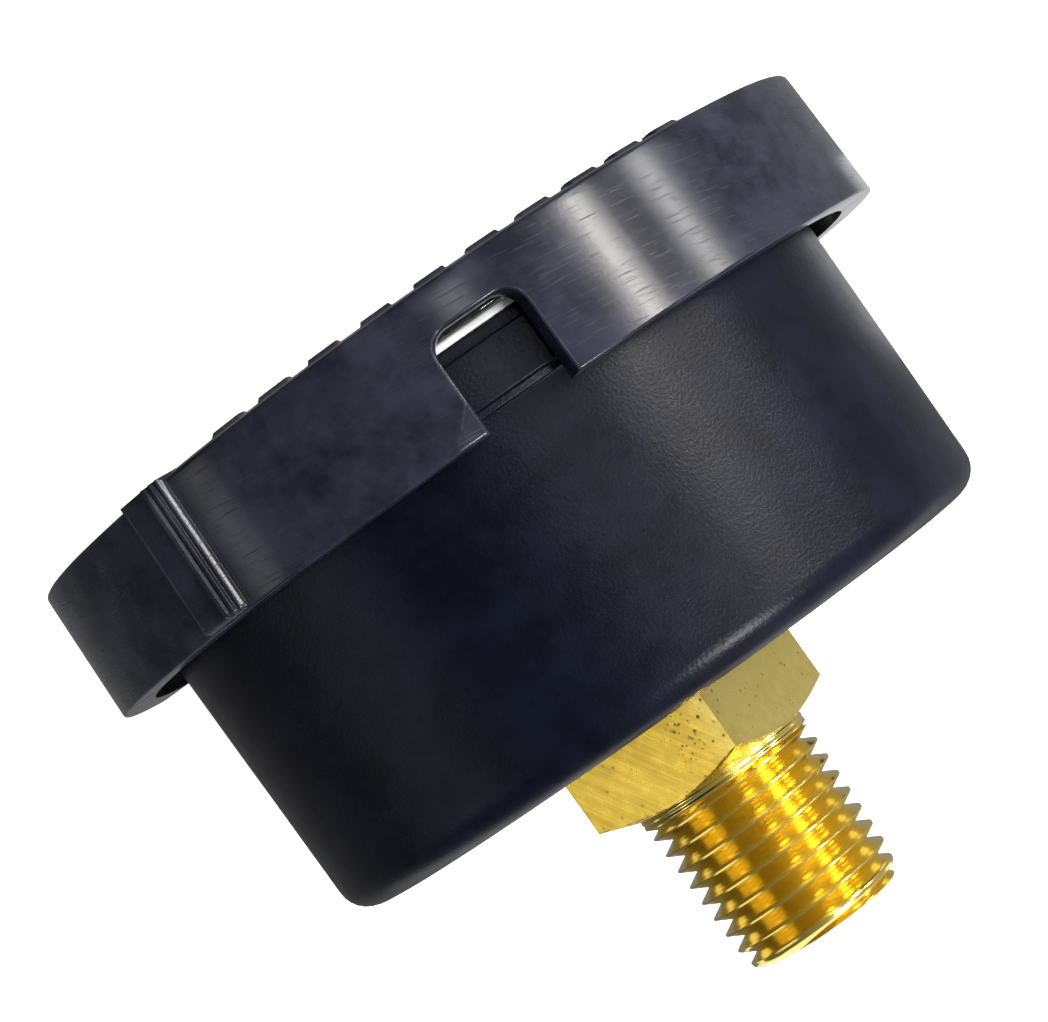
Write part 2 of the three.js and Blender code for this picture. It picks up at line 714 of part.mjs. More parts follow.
function buildTube() {
  const shape = tubeOutline(0);
  const hollow = tubeOutline(-TUBE_WALL);
  const steps = 26;
  const skin = tubeSweep(shape, TUBE_START, TUBE_END, steps);
  const inside = tubeSweep(hollow, TUBE_START + 2, TUBE_END - 2, steps);
  piece('bourdon_tube', skin.subtract(inside), 'bronze');
  // The cap closes the free end. Its ear reaches forward to the link.
  const [x, z] = polar(TUBE_RADIUS, TIP_ANGLE);
  const half = 1.9;
  const capShape = outline([
    [x - half, z - 2.4],
    [x + half, z - 2.4],
    [x + half, z + 1.7],
    [x - half, z + 1.2],
  ]);
  const cap = prism(capShape, TUBE_AT - TUBE_WIDE / 2 - 0.3, TUBE_WIDE + 0.6);
  const earAt = TUBE_AT + TUBE_WIDE / 2;
  const earTop = LINK_AT - SLIP - 0.05;
  const stalk = prism(rectangle(x - half, z - 2.4, x + 0.6, z - 0.4), earAt, earTop - earAt);
  const ear = prism(linkShape([x - 1, z - 1.4], TIP_PIN, 1, 1.7), earTop - 0.7, 0.7, 8);
  const hole = rod(0.9, earTop - 2, 3, TIP_PIN, 16);
  piece('tube_tip', sum([cap, stalk, ear]).subtract(hole), 'brass');
}

function plateShape() {
  const spots = [
    [PLATE_LOW, -PLATE_HALF + 2],
    [PLATE_LOW + 2, -PLATE_HALF],
    [PLATE_HIGH - 2, -PLATE_HALF],
    [PLATE_HIGH, -PLATE_HALF + 2],
    [PLATE_HIGH, PLATE_HALF - 2],
    [PLATE_HIGH - 2, PLATE_HALF],
    [PLATE_LOW + 2, PLATE_HALF],
    [PLATE_LOW, PLATE_HALF - 2],
  ];
  return outline(spots.map(plateSpot));
}

function buildFrame() {
  const bearing = ARBOR_RADIUS + 0.1;
  const rearHoles = [rod(bearing, REAR_PLATE_AT - 1, 3, [0, 0], 16)];
  rearHoles.push(rod(bearing, REAR_PLATE_AT - 1, 3, PIVOT, 16));
  MOVEMENT_SCREWS.forEach((spot) => {
    rearHoles.push(rod(0.95, REAR_PLATE_AT - 1, 3, plateSpot(spot), 12));
  });
  const rear = prism(plateShape(), REAR_PLATE_AT, PLATE_THICK);
  piece('movement_rear_plate', rear.subtract(sum(rearHoles)), 'brass');

  const frontHoles = [rod(bearing, FRONT_PLATE_AT - 1, 3, [0, 0], 16)];
  frontHoles.push(rod(bearing, FRONT_PLATE_AT - 1, 3, PIVOT, 16));
  PILLARS.forEach((spot) => {
    frontHoles.push(rod(0.65, FRONT_PLATE_AT - 1, 3, plateSpot(spot), 12));
  });
  [-DIAL_SCREW_X, DIAL_SCREW_X].forEach((x) => {
    frontHoles.push(rod(0.85, FRONT_PLATE_AT - 1, 3, [x, 0], 12));
  });
  const front = prism(plateShape(), FRONT_PLATE_AT, PLATE_THICK);
  piece('movement_front_plate', front.subtract(sum(frontHoles)), 'brass');

  const pillarAt = REAR_PLATE_AT + PLATE_THICK + 0.05;
  PILLARS.forEach((spot, k) => {
    const pillar = rod(PILLAR_RADIUS, pillarAt, FRONT_PLATE_AT - 0.05 - pillarAt, plateSpot(spot));
    const hole = rod(0.65, FRONT_PLATE_AT - 2, 3, plateSpot(spot), 12);
    piece(`pillar_${k + 1}`, pillar.subtract(hole), 'brass');
    const headAt = FRONT_PLATE_AT + PLATE_THICK + 0.05;
    screw(`pillar_screw_${k + 1}`, plateSpot(spot), headAt, 1.1, 0.7, 0.5, 2.6, 'steel');
  });
  MOVEMENT_SCREWS.forEach((spot, k) => {
    const headAt = REAR_PLATE_AT + PLATE_THICK + 0.05;
    screw(`movement_screw_${k + 1}`, plateSpot(spot), headAt, 1.5, 0.9, 0.8, 4.2, 'steel');
  });
}

function buildHairspring() {
  class Spiral extends THREE.Curve {
    getPoint(t) {
      const radius = SPRING_INNER + (SPRING_OUTER - SPRING_INNER) * t;
      const angle = SPRING_END_ANGLE - 360 * SPRING_TURNS * (1 - t);
      const [x, z] = polar(radius, angle);
      return new THREE.Vector3(x, place(SPRING_AT + SPRING_WIDE / 2), z);
    }
  }
  const halfWide = SPRING_WIDE / 2;
  const halfThin = SPRING_THIN / 2;
  const strip = rectangle(-halfWide, -halfThin, halfWide, halfThin);
  const sweep = new THREE.ExtrudeGeometry(strip, { steps: 54, extrudePath: new Spiral() });
  piece('hairspring', solid(sweep), 'bronze');
  const collet = turned([
    [ARBOR_RADIUS + 0.1, SPRING_AT - 0.1],
    [SPRING_INNER - 0.35, SPRING_AT - 0.1],
    [SPRING_INNER - 0.35, SPRING_AT + SPRING_WIDE + 0.1],
    [ARBOR_RADIUS + 0.1, SPRING_AT + SPRING_WIDE + 0.1],
  ], 16);
  piece('hairspring_collet', collet, 'brass');
  const studSpot = polar(SPRING_OUTER + 0.85, SPRING_END_ANGLE);
  const stud = rod(0.5, SPRING_AT - 0.2, FRONT_PLATE_AT - 0.05 - SPRING_AT + 0.2, studSpot, 12);
  piece('hairspring_stud', stud, 'brass');
}

// ---------------------------------------------------------------- dial side
function buildDial() {
  const holes = [rod(2.2, DIAL_AT - 1, 3)];
  [-DIAL_SCREW_X, DIAL_SCREW_X].forEach((x) => holes.push(rod(0.85, DIAL_AT - 1, 3, [x, 0], 12)));
  const stopAngle = POINTER_REST + ((0.55 + STOP_PIN + SLIP) / STOP_RADIUS) / DEG;
  const stopSpot = polar(STOP_RADIUS, stopAngle);
  holes.push(rod(STOP_PIN + 0.05, DIAL_AT - 1, 3, stopSpot, 16));
  const plate = rod(DIAL_RADIUS, DIAL_AT, DIAL_THICK, [0, 0], 48);
  piece('dial_plate', plate.subtract(sum(holes)), 'dialWhite');
  piece('zero_stop_pin', rod(STOP_PIN, DIAL_AT - 0.4, 3.1, stopSpot, 16), 'steel');
  const postAt = FRONT_PLATE_AT + PLATE_THICK + 0.05;
  [['left', -DIAL_SCREW_X], ['right', DIAL_SCREW_X]].forEach(([side, x]) => {
    const post = rod(1.3, postAt, DIAL_AT - 0.05 - postAt, [x, 0], 16);
    const hole = rod(0.85, postAt - 1, 5, [x, 0], 12);
    piece(`dial_post_${side}`, post.subtract(hole), 'brass');
    screw(`dial_screw_${side}`, [x, 0], DIAL_AT + DIAL_THICK + 0.05, 1.5, 0.8, 0.7, 3.4, 'steel');
  });
}

function buildPointer() {
  const shape = outline([
    [-POINTER_TAIL, -1.5],
    [-POINTER_TAIL + 2.2, -1.5],
    [-2.4, -0.9],
    [-1.6, -1.9],
    [1.6, -1.9],
    [2.4, -0.8],
    [POINTER_LONG - 3, -0.45],
    [POINTER_LONG, 0],
    [POINTER_LONG - 3, 0.45],
    [2.4, 0.8],
    [1.6, 1.9],
    [-1.6, 1.9],
    [-2.4, 0.9],
    [-POINTER_TAIL + 2.2, 1.5],
    [-POINTER_TAIL, 1.5],
  ].map(([x, z]) => {
    const [ax, az] = polar(x, POINTER_REST);
    const [lx, lz] = polar(z, POINTER_REST + 90);
    return [ax + lx, az + lz];
  }));
  const hole = rod(1.3, POINTER_AT - 1, 3, [0, 0], 20);
  piece('pointer', prism(shape, POINTER_AT, POINTER_THICK).subtract(hole), 'pointerBlack');
  const bore = ARBOR_RADIUS + 0.1;
  piece('pointer_hub', turned([
    [bore, POINTER_AT - 0.95],
    [1.9, POINTER_AT - 0.95],
    [1.9, POINTER_AT - 0.1],
    [1.2, POINTER_AT - 0.1],
    [1.2, POINTER_AT + 0.9],
    [bore, POINTER_AT + 0.9],
  ], 20), 'brass');
}

buildCase();
buildSocket();
buildRestrictor();
buildSocketGasket();
flangeScrewSpots().forEach((spot, k) => {
  const headAt = FLANGE_AT + FLANGE_THICK + 0.05;
  screw(`flange_screw_${k + 1}`, spot, headAt, FLANGE_SCREW_HEAD, 1.1, 1, 5.2, 'steel');
});
buildTube();
buildFrame();
buildPinion();
buildHairspring();
buildSector();
buildLink();
buildDial();
buildPointer();
buildLens();
buildBezel();

export default gauge;
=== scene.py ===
"""Looks of a back-connected pressure gauge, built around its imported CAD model.

Stations named "at" are millimetres from the stub's open end, along -Y. Angles named "phi" run
from 12 o'clock (+Z) towards 9 o'clock (-X), as seen from the dial.
"""

import json
import math

import bmesh
import bpy
import numpy as np
from mathutils import Matrix, Vector


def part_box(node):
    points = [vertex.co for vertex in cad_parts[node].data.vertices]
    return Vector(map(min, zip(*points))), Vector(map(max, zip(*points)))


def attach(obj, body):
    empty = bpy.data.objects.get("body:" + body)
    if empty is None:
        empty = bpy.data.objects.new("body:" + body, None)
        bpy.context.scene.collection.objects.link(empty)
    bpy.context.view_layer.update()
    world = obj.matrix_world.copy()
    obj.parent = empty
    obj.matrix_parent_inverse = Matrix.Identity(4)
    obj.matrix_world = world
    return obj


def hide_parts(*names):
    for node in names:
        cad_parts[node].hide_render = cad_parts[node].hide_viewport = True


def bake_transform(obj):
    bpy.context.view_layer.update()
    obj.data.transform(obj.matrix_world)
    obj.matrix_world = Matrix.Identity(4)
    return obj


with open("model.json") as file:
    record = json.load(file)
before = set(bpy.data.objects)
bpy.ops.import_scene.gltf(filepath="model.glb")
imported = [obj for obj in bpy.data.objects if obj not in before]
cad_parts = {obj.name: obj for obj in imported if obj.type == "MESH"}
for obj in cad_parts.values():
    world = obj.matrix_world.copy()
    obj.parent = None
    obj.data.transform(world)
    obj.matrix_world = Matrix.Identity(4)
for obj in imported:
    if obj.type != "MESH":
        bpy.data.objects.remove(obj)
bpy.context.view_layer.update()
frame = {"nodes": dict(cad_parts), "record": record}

MM = 0.001
SCENE = bpy.context.scene


def station(node, front=False):
    """Where a CAD node starts or ends along the gauge's axis, in millimetres."""
    low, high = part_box(node)
    return -(low.y if front else high.y) / MM


# ------------------------------------------------------------------ dimensions, millimetres
BACK_AT = station("case")
CASE_FRONT_AT = station("case", front=True)
BEZEL_AT = station("bezel_ring")
LENS_AT = station("lens")
DIAL_FACE_AT = station("dial_plate", front=True)
LENS_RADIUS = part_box("lens")[1].x / MM

PITCH = 25.4 / 18
THREAD_LENGTH = 12.4
THREAD_TIP_RADIUS = 6.5
THREAD_TAPER = 1 / 32
THREAD_DEPTH = 0.8 * PITCH
CREST_FLAT = 0.1
THREAD_ROOT = 0.55
THREAD_PHASE = 0.3                     # turns by which the thread starts late
TOOL_LINES = 4                          # cutting marks in each turn of the thread
COLLAR_RADIUS = 6.95
COLLAR_START = 11.9
COLLAR_SLOPE = 2.15
RUN_OUT_AT = 12.55
RUN_OUT_STEP = 0.42
RUN_OUT_DEPTH = 0.06
SQUARE = 14
SQUARE_RELIEF = 13.6
SQUARE_TURN = 10.1
SQUARE_AT = 13.4
SQUARE_CORNER_AT = 14.5
SQUARE_DIAGONAL = SQUARE * math.sqrt(2)
STUB_FRONT_AT = 24.3
PORT_RADIUS = 2.3
PORT_DEPTH = 12

CASE_BACK_RADIUS = 27.1
CASE_FRONT_RADIUS = 27.39
CASE_BORE = 26
CASE_FLOOR_AT = 22.1
CASE_PAD_AT = 23.4
BAND_AT = 41.7
BAND_RADIUS = 29
BAND_STEP_AT = 45.8
BAND_STEP_RADIUS = 28.6

BEZEL_REAR_RADIUS = 32.4
BEZEL_FRONT_RADIUS = 32.1
BEZEL_LONG = 10
BEZEL_BORE = 29.8
BEZEL_LIP_AT = 49.15
LAND_FRONT_AT = 50.8
WINDOW_RADIUS = 26.3
SLOT_ANGLE = 6.45
SLOT_HALF = 6.05
SLOT_LENGTH = 7.1
SLOT_CORNER = 1.6
RAMP = 2.5
RAMP_DEEP = 0.5
RAMP_CREASE = 0.015                     # softness of the ramp's edge
GRIP_ANGLE = -38.9
GRIP_HALF = 4.1
GRIP_RISE = 0.42
RIDGES = ((0.95, 0.46, 0.34), (2.3, 0.34, 0.32), (3.3, 0.24, 0.2))     # angle, half width, rise
EDGE_BEAD = 0.07
BAR_COUNT = 10
BAR_ANGLE = 9.3
BAR_STEP = 7.9
BAR_HALF = 2.2
BAR_RISE = 0.25
LUG_RISE = 1.5
LUG_HALF = 9
THIRDS = (0, 120, 240)
HALVES = (0, 180)


# ------------------------------------------------------------------ mesh helpers
def finish_piece(name, points, faces, body, slot_name, material, sharp=34, stands_for=()):
    """A mesh object from points in millimetres, riding on a CAD body."""
    mesh = bpy.data.meshes.new(name)
    mesh.from_pydata([tuple(p) for p in np.asarray(points, float) * MM], [], faces)
    mesh.validate()
    work = bmesh.new()
    work.from_mesh(mesh)
    bmesh.ops.remove_doubles(work, verts=work.verts, dist=2e-7)
    bmesh.ops.dissolve_degenerate(work, edges=work.edges, dist=2e-7)
    bmesh.ops.recalc_face_normals(work, faces=work.faces)
    work.to_mesh(mesh)
    work.free()
    mesh.shade_smooth()
    mesh.set_sharp_from_angle(angle=math.radians(sharp))
    mesh.materials.append(material)
    obj = bpy.data.objects.new(name, mesh)
    SCENE.collection.objects.link(obj)
    if body:
        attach(obj, body)
    if stands_for:
        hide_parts(*stands_for)
    return obj


def rounded(corners, closed=True, steps=5):
    """A profile of (radius, at) points from (radius, at, fillet) corners."""
    count = len(corners)
    out = []
    for k, (r, at, fillet) in enumerate(corners):
        here = np.array([r, at], float)
        ends = not closed and k in (0, count - 1)
        if ends or fillet <= 0:
            out.append(here)
            continue
        before = np.array(corners[k - 1][:2], float) - here
        after = np.array(corners[(k + 1) % count][:2], float) - here
        u, v = before / np.linalg.norm(before), after / np.linalg.norm(after)
        half = math.acos(np.clip(u @ v, -1, 1)) / 2
        if half > math.pi / 2 - 0.02:
            out.append(here)
            continue
        shorter_side = min(np.linalg.norm(before), np.linalg.norm(after))
        reach = min(fillet / math.tan(half), 0.48 * shorter_side)
        radius = reach * math.tan(half)
        centre = here + (u + v) / np.linalg.norm(u + v) * radius / math.sin(half)
        a, b = here + u * reach - centre, here + v * reach - centre
        sweep = math.acos(np.clip(a @ b / (radius * radius), -1, 1))
        for i in range(steps + 1):
            t = i / steps
            mix = (math.sin((1 - t) * sweep) * a + math.sin(t * sweep) * b) / math.sin(sweep)
            out.append(centre + mix)
    return np.array(out)


def polar_points(radius, at, phi_degrees):
    phi = np.radians(phi_degrees)
    return np.stack([-radius * np.sin(phi), -at + 0 * radius, radius * np.cos(phi)], axis=-1)


def revolve(name, profile, phis, body, slot_name, material, shape=None, seam=None, **extra):
    """A closed (radius, at) profile turned about the axis; shape may bend it by angle.

    seam(row) says which row of the first column the last column's row meets.
    """
    columns, rows = len(phis), len(profile)
    radius = np.tile(profile[:, 0], (columns, 1))
    at = np.tile(profile[:, 1], (columns, 1))
    phi = np.tile(np.array(phis)[:, None], (1, rows))
    if shape:
        radius, at = shape(radius, at, phi)
    points = polar_points(radius, at, phi).reshape(-1, 3)
    faces = []
    for i in range(columns):
        a, b = i * rows, ((i + 1) % columns) * rows
        meets = seam if seam and i == columns - 1 else (lambda row: row)
        for j in range(rows):
            k = (j + 1) % rows
            faces.append((a + j, b + meets(j), b + meets(k), a + k))
    return finish_piece(name, points, faces, body, slot_name, material, **extra)


def even_angles(count):
    return [360 * i / count for i in range(count)]


def smooth(t):
    t = np.clip(t, 0, 1)
    return t * t * (3 - 2 * t)


def bump_over(value, low, high, edge):
    """1 between low and high, falling to 0 over edge on each side."""
    return smooth((value - low) / edge + 0.5) * smooth((high - value) / edge + 0.5)


def angle_from(phi, centre):
    return (np.asarray(phi) - centre + 180) % 360 - 180


# ------------------------------------------------------------------ materials
class Shader:
    """A Principled material with short calls for its procedural nodes."""

    def __init__(self, name, color, roughness, metallic=0.0, **sockets):
        self.material = bpy.data.materials.new(name)
        self.material.use_nodes = True
        self.tree = self.material.node_tree
        self.main = self.tree.nodes["Principled BSDF"]
        self.coordinates = self.tree.nodes.new("ShaderNodeTexCoord").outputs["Object"]
        self.set("Base Color", (*color, 1))
        self.set("Roughness", roughness)
        self.set("Metallic", metallic)
        for socket, value in sockets.items():
            self.set(socket.replace("_", " "), value)

    def set(self, socket, value):
        self.feed(self.main.inputs[socket], value)

    def node(self, kind, **inputs):
        made = self.tree.nodes.new(kind)
        for socket, value in inputs.items():
            self.feed(made.inputs[socket.replace("_", " ")], value)
        return made

    def feed(self, target, value):
        if isinstance(value, bpy.types.NodeSocket):
            self.tree.links.new(value, target)
        else:
            target.default_value = value

    def noise(self, size_mm, detail, rough=0.5):
        return self.node(
            "ShaderNodeTexNoise", Vector=self.coordinates, Scale=1 / (size_mm * MM),
            Detail=detail, Roughness=rough,
        ).outputs["Fac"]

    def spots(self, size_mm):
        return self.node(
            "ShaderNodeTexVoronoi", Vector=self.coordinates, Scale=1 / (size_mm * MM),
            Randomness=1.0,
        ).outputs["Distance"]

    def position(self):
        """The sockets X, Y and Z of the shaded point."""
        return self.node("ShaderNodeSeparateXYZ", Vector=self.coordinates).outputs

    def ramp(self, value, low, high, out_low=0.0, out_high=1.0):
        made = self.node("ShaderNodeMapRange", Value=value)
        made.clamp = True
        made.inputs["From Min"].default_value = low
        made.inputs["From Max"].default_value = high
        made.inputs["To Min"].default_value = out_low
        made.inputs["To Max"].default_value = out_high
        return made.outputs["Result"]

    def math(self, operation, a, b=0):
        made = self.tree.nodes.new("ShaderNodeMath")
        made.operation = operation
        self.feed(made.inputs[0], a)
        self.feed(made.inputs[1], b)
        return made.outputs[0]

    def mix(self, factor, a, b):
        made = self.tree.nodes.new("ShaderNodeMix")
        made.data_type = "RGBA"
        self.feed(made.inputs["Factor"], factor)
        self.feed(made.inputs[6], (*a, 1) if isinstance(a, tuple) else a)
        self.feed(made.inputs[7], (*b, 1) if isinstance(b, tuple) else b)
        return made.outputs[2]

    def product(self, first, *rest):
        for value in rest:
            first = self.math("MULTIPLY", first, value)
        return first

    def bump(self, height, depth_mm):
        made = self.node("ShaderNodeBump", Height=height, Distance=depth_mm * MM, Strength=1.0)
        previous = self.main.inputs["Normal"]
        if previous.links:
            self.feed(made.inputs["Normal"], previous.links[0].from_socket)
        self.set("Normal", made.outputs["Normal"])


def plastic(name, dark, light, roughness, spread, grain_mm, grain_depth, specular):
    """Moulded plastic: cloudy colour, uneven gloss and a fine grain."""
    made = Shader(name, dark, roughness, Specular_IOR_Level=specular)
    cloud = made.ramp(made.noise(5, 5, rough=0.65), 0.4, 0.6)
    made.set("Base Color", made.mix(cloud, dark, light))
    patch = made.ramp(made.noise(1.6, 3), 0.1, 0.9, roughness - 2 * spread, roughness + 2 * spread)
    made.set("Roughness", patch)
    made.bump(made.noise(grain_mm, 2), grain_depth)
    return made


def metal(name, color, dark, roughness, spread):
    """Machined metal with slight tarnish."""
    made = Shader(name, color, roughness, 1.0)
    made.set("Base Color", made.mix(made.ramp(made.noise(1.1, 4), 0.35, 0.7), color, dark))
    patch = made.ramp(made.noise(0.6, 4), 0.3, 0.7, roughness - spread, roughness + spread)
    made.set("Roughness", patch)
    made.bump(made.noise(0.35, 3), 0.004)
    return made


def scratches(shader, along, normal, long_mm, wide_mm, low, high):
    """Thin straight marks on a face: noise stretched along one direction in it."""
    u = Vector(along).normalized()
    n = Vector(normal).normalized()
    v = n.cross(u).normalized()
    parts = []
    for axis, size in ((u, long_mm), (v, wide_mm), (n, wide_mm)):
        made = shader.tree.nodes.new("ShaderNodeVectorMath")
        made.operation = "DOT_PRODUCT"
        shader.feed(made.inputs[0], shader.coordinates)
        made.inputs[1].default_value = axis / (size * MM)
        parts.append(made.outputs["Value"])
    vector = shader.node("ShaderNodeCombineXYZ", X=parts[0], Y=parts[1], Z=parts[2]).outputs[0]
    made = shader.node("ShaderNodeTexNoise", Scale=1.0, Detail=1.0, Vector=vector)
    return shader.ramp(made.outputs["Fac"], low, high)


def turn_about_axis(shader, parts):
    """The angle about the gauge's axis, in radians from 12 o'clock towards 9 o'clock."""
    return shader.math("ARCTAN2", shader.product(parts["X"], -1), parts["Z"])


def turning_marks(shader, radius, slope, long_mm, wide_mm, low, high):
    """Short marks that run round the axis on a surface of about this radius."""
    parts = shader.position()
    arc = shader.product(turn_about_axis(shader, parts), radius * MM)
    across = shader.math("ADD", parts["Y"], shader.product(arc, slope))
    vector = shader.node(
        "ShaderNodeCombineXYZ",
        X=shader.math("DIVIDE", arc, long_mm * MM), Y=shader.math("DIVIDE", across, wide_mm * MM),
    ).outputs[0]
    made = shader.node("ShaderNodeTexNoise", Scale=1.0, Detail=2.0, Vector=vector)
    behind_face = shader.ramp(parts["Y"], -50.3 * MM, -49.8 * MM)
    return shader.product(shader.ramp(made.outputs["Fac"], low, high), behind_face)


case_black = plastic(
    "case_black", dark=(0.0008, 0.0013, 0.0055), light=(0.003, 0.0042, 0.012),
    roughness=0.35, spread=0.03, grain_mm=0.24, grain_depth=0.022, specular=0.16,
)
bezel_black = plastic(
    "bezel_black", dark=(0.008, 0.009, 0.017), light=(0.022, 0.024, 0.039),
    roughness=0.22, spread=0.015, grain_mm=0.3, grain_depth=0.0015, specular=0.24,
)
dark_rubber = plastic(
    "dark_rubber", dark=(0.02, 0.02, 0.02), light=(0.032, 0.032, 0.032),
    roughness=0.8, spread=0.05, grain_mm=0.2, grain_depth=0.02, specular=0.3,
)
ink = plastic(
    "dial_ink", dark=(0.012, 0.012, 0.013), light=(0.016, 0.016, 0.017),
    roughness=0.4, spread=0.05, grain_mm=0.2, grain_depth=0.001, specular=0.4,
)
pointer_black = plastic(
    "pointer_black", dark=(0.015, 0.015, 0.016), light=(0.021, 0.021, 0.022),
    roughness=0.35, spread=0.05, grain_mm=0.3, grain_depth=0.002, specular=0.5,
)
steel = metal("steel", (0.6, 0.61, 0.62), (0.42, 0.43, 0.45), 0.3, 0.08)
movement_brass = metal("movement_brass", (0.78, 0.58, 0.24), (0.6, 0.42, 0.15), 0.3, 0.07)
bronze = metal("bronze", (0.66, 0.42, 0.2), (0.5, 0.3, 0.13), 0.33, 0.07)
clear = Shader("clear_plastic", (0.93, 0.95, 0.95), 0.03, Transmission_Weight=1.0, IOR=1.49)
white_rubber = Shader("white_rubber", (0.86, 0.86, 0.84), 0.5)
dial_white = Shader("dial_white", (0.88, 0.88, 0.86), 0.35)
socket_brass = Shader("socket_brass", (0.78, 0.55, 0.15), 0.3, 1.0)


def add_bezel_wear(s):
    """Short lathe-like scratches, rougher and slightly sunk."""
    wear = turning_marks(
        s, BEZEL_REAR_RADIUS, slope=-0.12, long_mm=2.6, wide_mm=0.14, low=0.56, high=0.72
    )
    s.set("Roughness", s.ramp(wear, 0, 1, 0.2, 0.36))
    s.bump(wear, -0.0006)


def add_stains(s, size_mm, detail, color, stain, grain_mm, grain_depth):
    """Slightly uneven colour and surface."""
    s.set("Base Color", s.mix(s.noise(size_mm, detail), color, stain))
    s.bump(s.noise(grain_mm, 2), grain_depth)


THREAD_GOLD = ((0.97, 0.77, 0.22), (0.93, 0.71, 0.17))
# Golds for the square's left and right flats, set apart as painted light for how differently each
# flat is lit.
LEFT_FLAT_PAINTED_LIGHT_GOLD = ((0.97, 0.71, 0.11), (0.9, 0.61, 0.08))
RIGHT_FLAT_PAINTED_LIGHT_GOLD = ((0.98, 0.8, 0.26), (0.92, 0.73, 0.21))
SCRATCH_BROWN = (0.62, 0.4, 0.06)
PIT_BROWN = (0.22, 0.16, 0.06)
LEFT_FLAT_NORMAL = (0.572, 0, 0.82)
SAW_DIRECTION = (-0.54, 0.842, 0.376)


def build_socket_brass(s):
    """Turned brass on the thread, sawn and pitted brass on the wrench square, whose two flats get
    different golds as painted light for the light falling on each.
    """
    parts = s.position()
    x, y = parts["X"], parts["Y"]
    on_square = s.ramp(y, -(SQUARE_AT - 0.2) * MM, -(SQUARE_AT + 0.3) * MM)
    on_thread = s.ramp(on_square, 0, 1, 1.0, 0.0)
    on_right_flat = s.ramp(x, 0.3 * MM, -2.6 * MM)

    tone = s.ramp(s.noise(2.4, 2), 0.2, 0.8)
    # Painted light: the left and right flats take separate golds that stand for the different light
    # on each flat.
    flats_painted_light = s.mix(on_right_flat, s.mix(tone, *LEFT_FLAT_PAINTED_LIGHT_GOLD), s.mix(tone, *RIGHT_FLAT_PAINTED_LIGHT_GOLD))
    base = s.mix(on_square, s.mix(tone, *THREAD_GOLD), flats_painted_light)

    cut = (SAW_DIRECTION, LEFT_FLAT_NORMAL)
    broad = scratches(s, *cut, long_mm=9.0, wide_mm=0.45, low=0.42, high=0.66)
    thin = scratches(s, *cut, long_mm=5.0, wide_mm=0.1, low=0.52, high=0.68)
    marks = s.math("MAXIMUM", s.product(broad, 0.9), thin)
    marks = s.product(marks, s.product(on_square, s.ramp(on_right_flat, 0, 1, 1.0, 0.15)))
    base = s.mix(s.product(marks, 0.65), base, SCRATCH_BROWN)

    by_corner = s.product(s.ramp(x, 2.2 * MM, 1.2 * MM), s.ramp(x, -0.6 * MM, 0.6 * MM))
    fewer_at_left = s.ramp(x, 4 * MM, -1 * MM, 0.35, 1.0)
    large_pits = s.product(s.ramp(s.spots(0.95), 0.1, 0.17, 1.0, 0.0), fewer_at_left)
    small_pits = s.product(s.ramp(s.spots(0.45), 0.08, 0.26, 1.0, 0.0), by_corner)
    pits = s.product(s.math("MAXIMUM", large_pits, small_pits), on_square)
    s.set("Base Color", s.mix(s.product(pits, 0.8), base, PIT_BROWN))

    flat_rough = s.product(on_square, s.ramp(s.noise(0.9, 3), 0.3, 0.7, 0.24, 0.32))
    rough = s.math("ADD", flat_rough, s.ramp(on_square, 0, 1, 0.17, 0.0))
    s.set("Roughness", s.math("ADD", rough, s.product(pits, 0.3)))

    climb = s.math("ADD", y, s.product(turn_about_axis(s, parts), PITCH * MM / (2 * math.pi)))
    lines_per_metre = TOOL_LINES / (PITCH * MM)
    tool_lines = s.math("SINE", s.product(climb, -1, 2 * math.pi * lines_per_metre))
    s.bump(marks, -0.0018)
    s.bump(s.product(on_square, s.noise(0.3, 2)), 0.0006)
    s.bump(pits, -0.006)
    s.bump(s.product(tool_lines, on_thread), 0.003)


add_bezel_wear(bezel_black)
add_stains(white_rubber, 1, 3, (0.9, 0.9, 0.88), (0.7, 0.7, 0.69), 0.3, 0.01)
add_stains(dial_white, 6, 2, (0.9, 0.9, 0.88), (0.85, 0.85, 0.83), 0.4, 0.002)
clear.bump(clear.noise(4, 1), 0.002)
build_socket_brass(socket_brass)


# ------------------------------------------------------------------ socket
def thread_radius(at, phi):
    """The tapered thread's outside: 0.1 turn of crest, a flank down to the root and one up."""
    theta = (phi + 90) / 360 + THREAD_PHASE
    f = (at / PITCH - theta) % 1
    falling = np.clip((f - CREST_FLAT) / (THREAD_ROOT - CREST_FLAT), 0, 1)
    rising = np.clip((1 - f) / (1 - THREAD_ROOT), 0, 1)
    depth = THREAD_DEPTH * np.minimum(falling, rising)
    return THREAD_TIP_RADIUS + at * THREAD_TAPER - depth


def square_radius(across, phi, corner_cut):
    """The polar radius of the wrench square, its corners slightly broken."""
    from_flat = (np.asarray(phi) - SQUARE_TURN) % 90 - 45
    flat = across / 2 / np.cos(np.radians(from_flat))
    return np.minimum(flat, across / math.sqrt(2) - corner_cut)


def near_corners(offsets):
    """Angles close to the wrench square's four corners."""
    return [SQUARE_TURN + 90 * corner + offset for corner in range(4) for offset in offsets]


THREAD_ROW = 99.0                       # in place of a radius, marks a row that climbs the helix
TURNED_ROW = 6.0                        # marks a row whose radius comes from stub_surface
BORE_LIMIT = 5.5                        # rows inside this keep their own radius
THREAD_FRACTIONS = (
    0, 0.05, 0.1, 0.19, 0.28, 0.37, 0.46, 0.53, 0.55, 0.57, 0.66, 0.75, 0.84, 0.92,
)


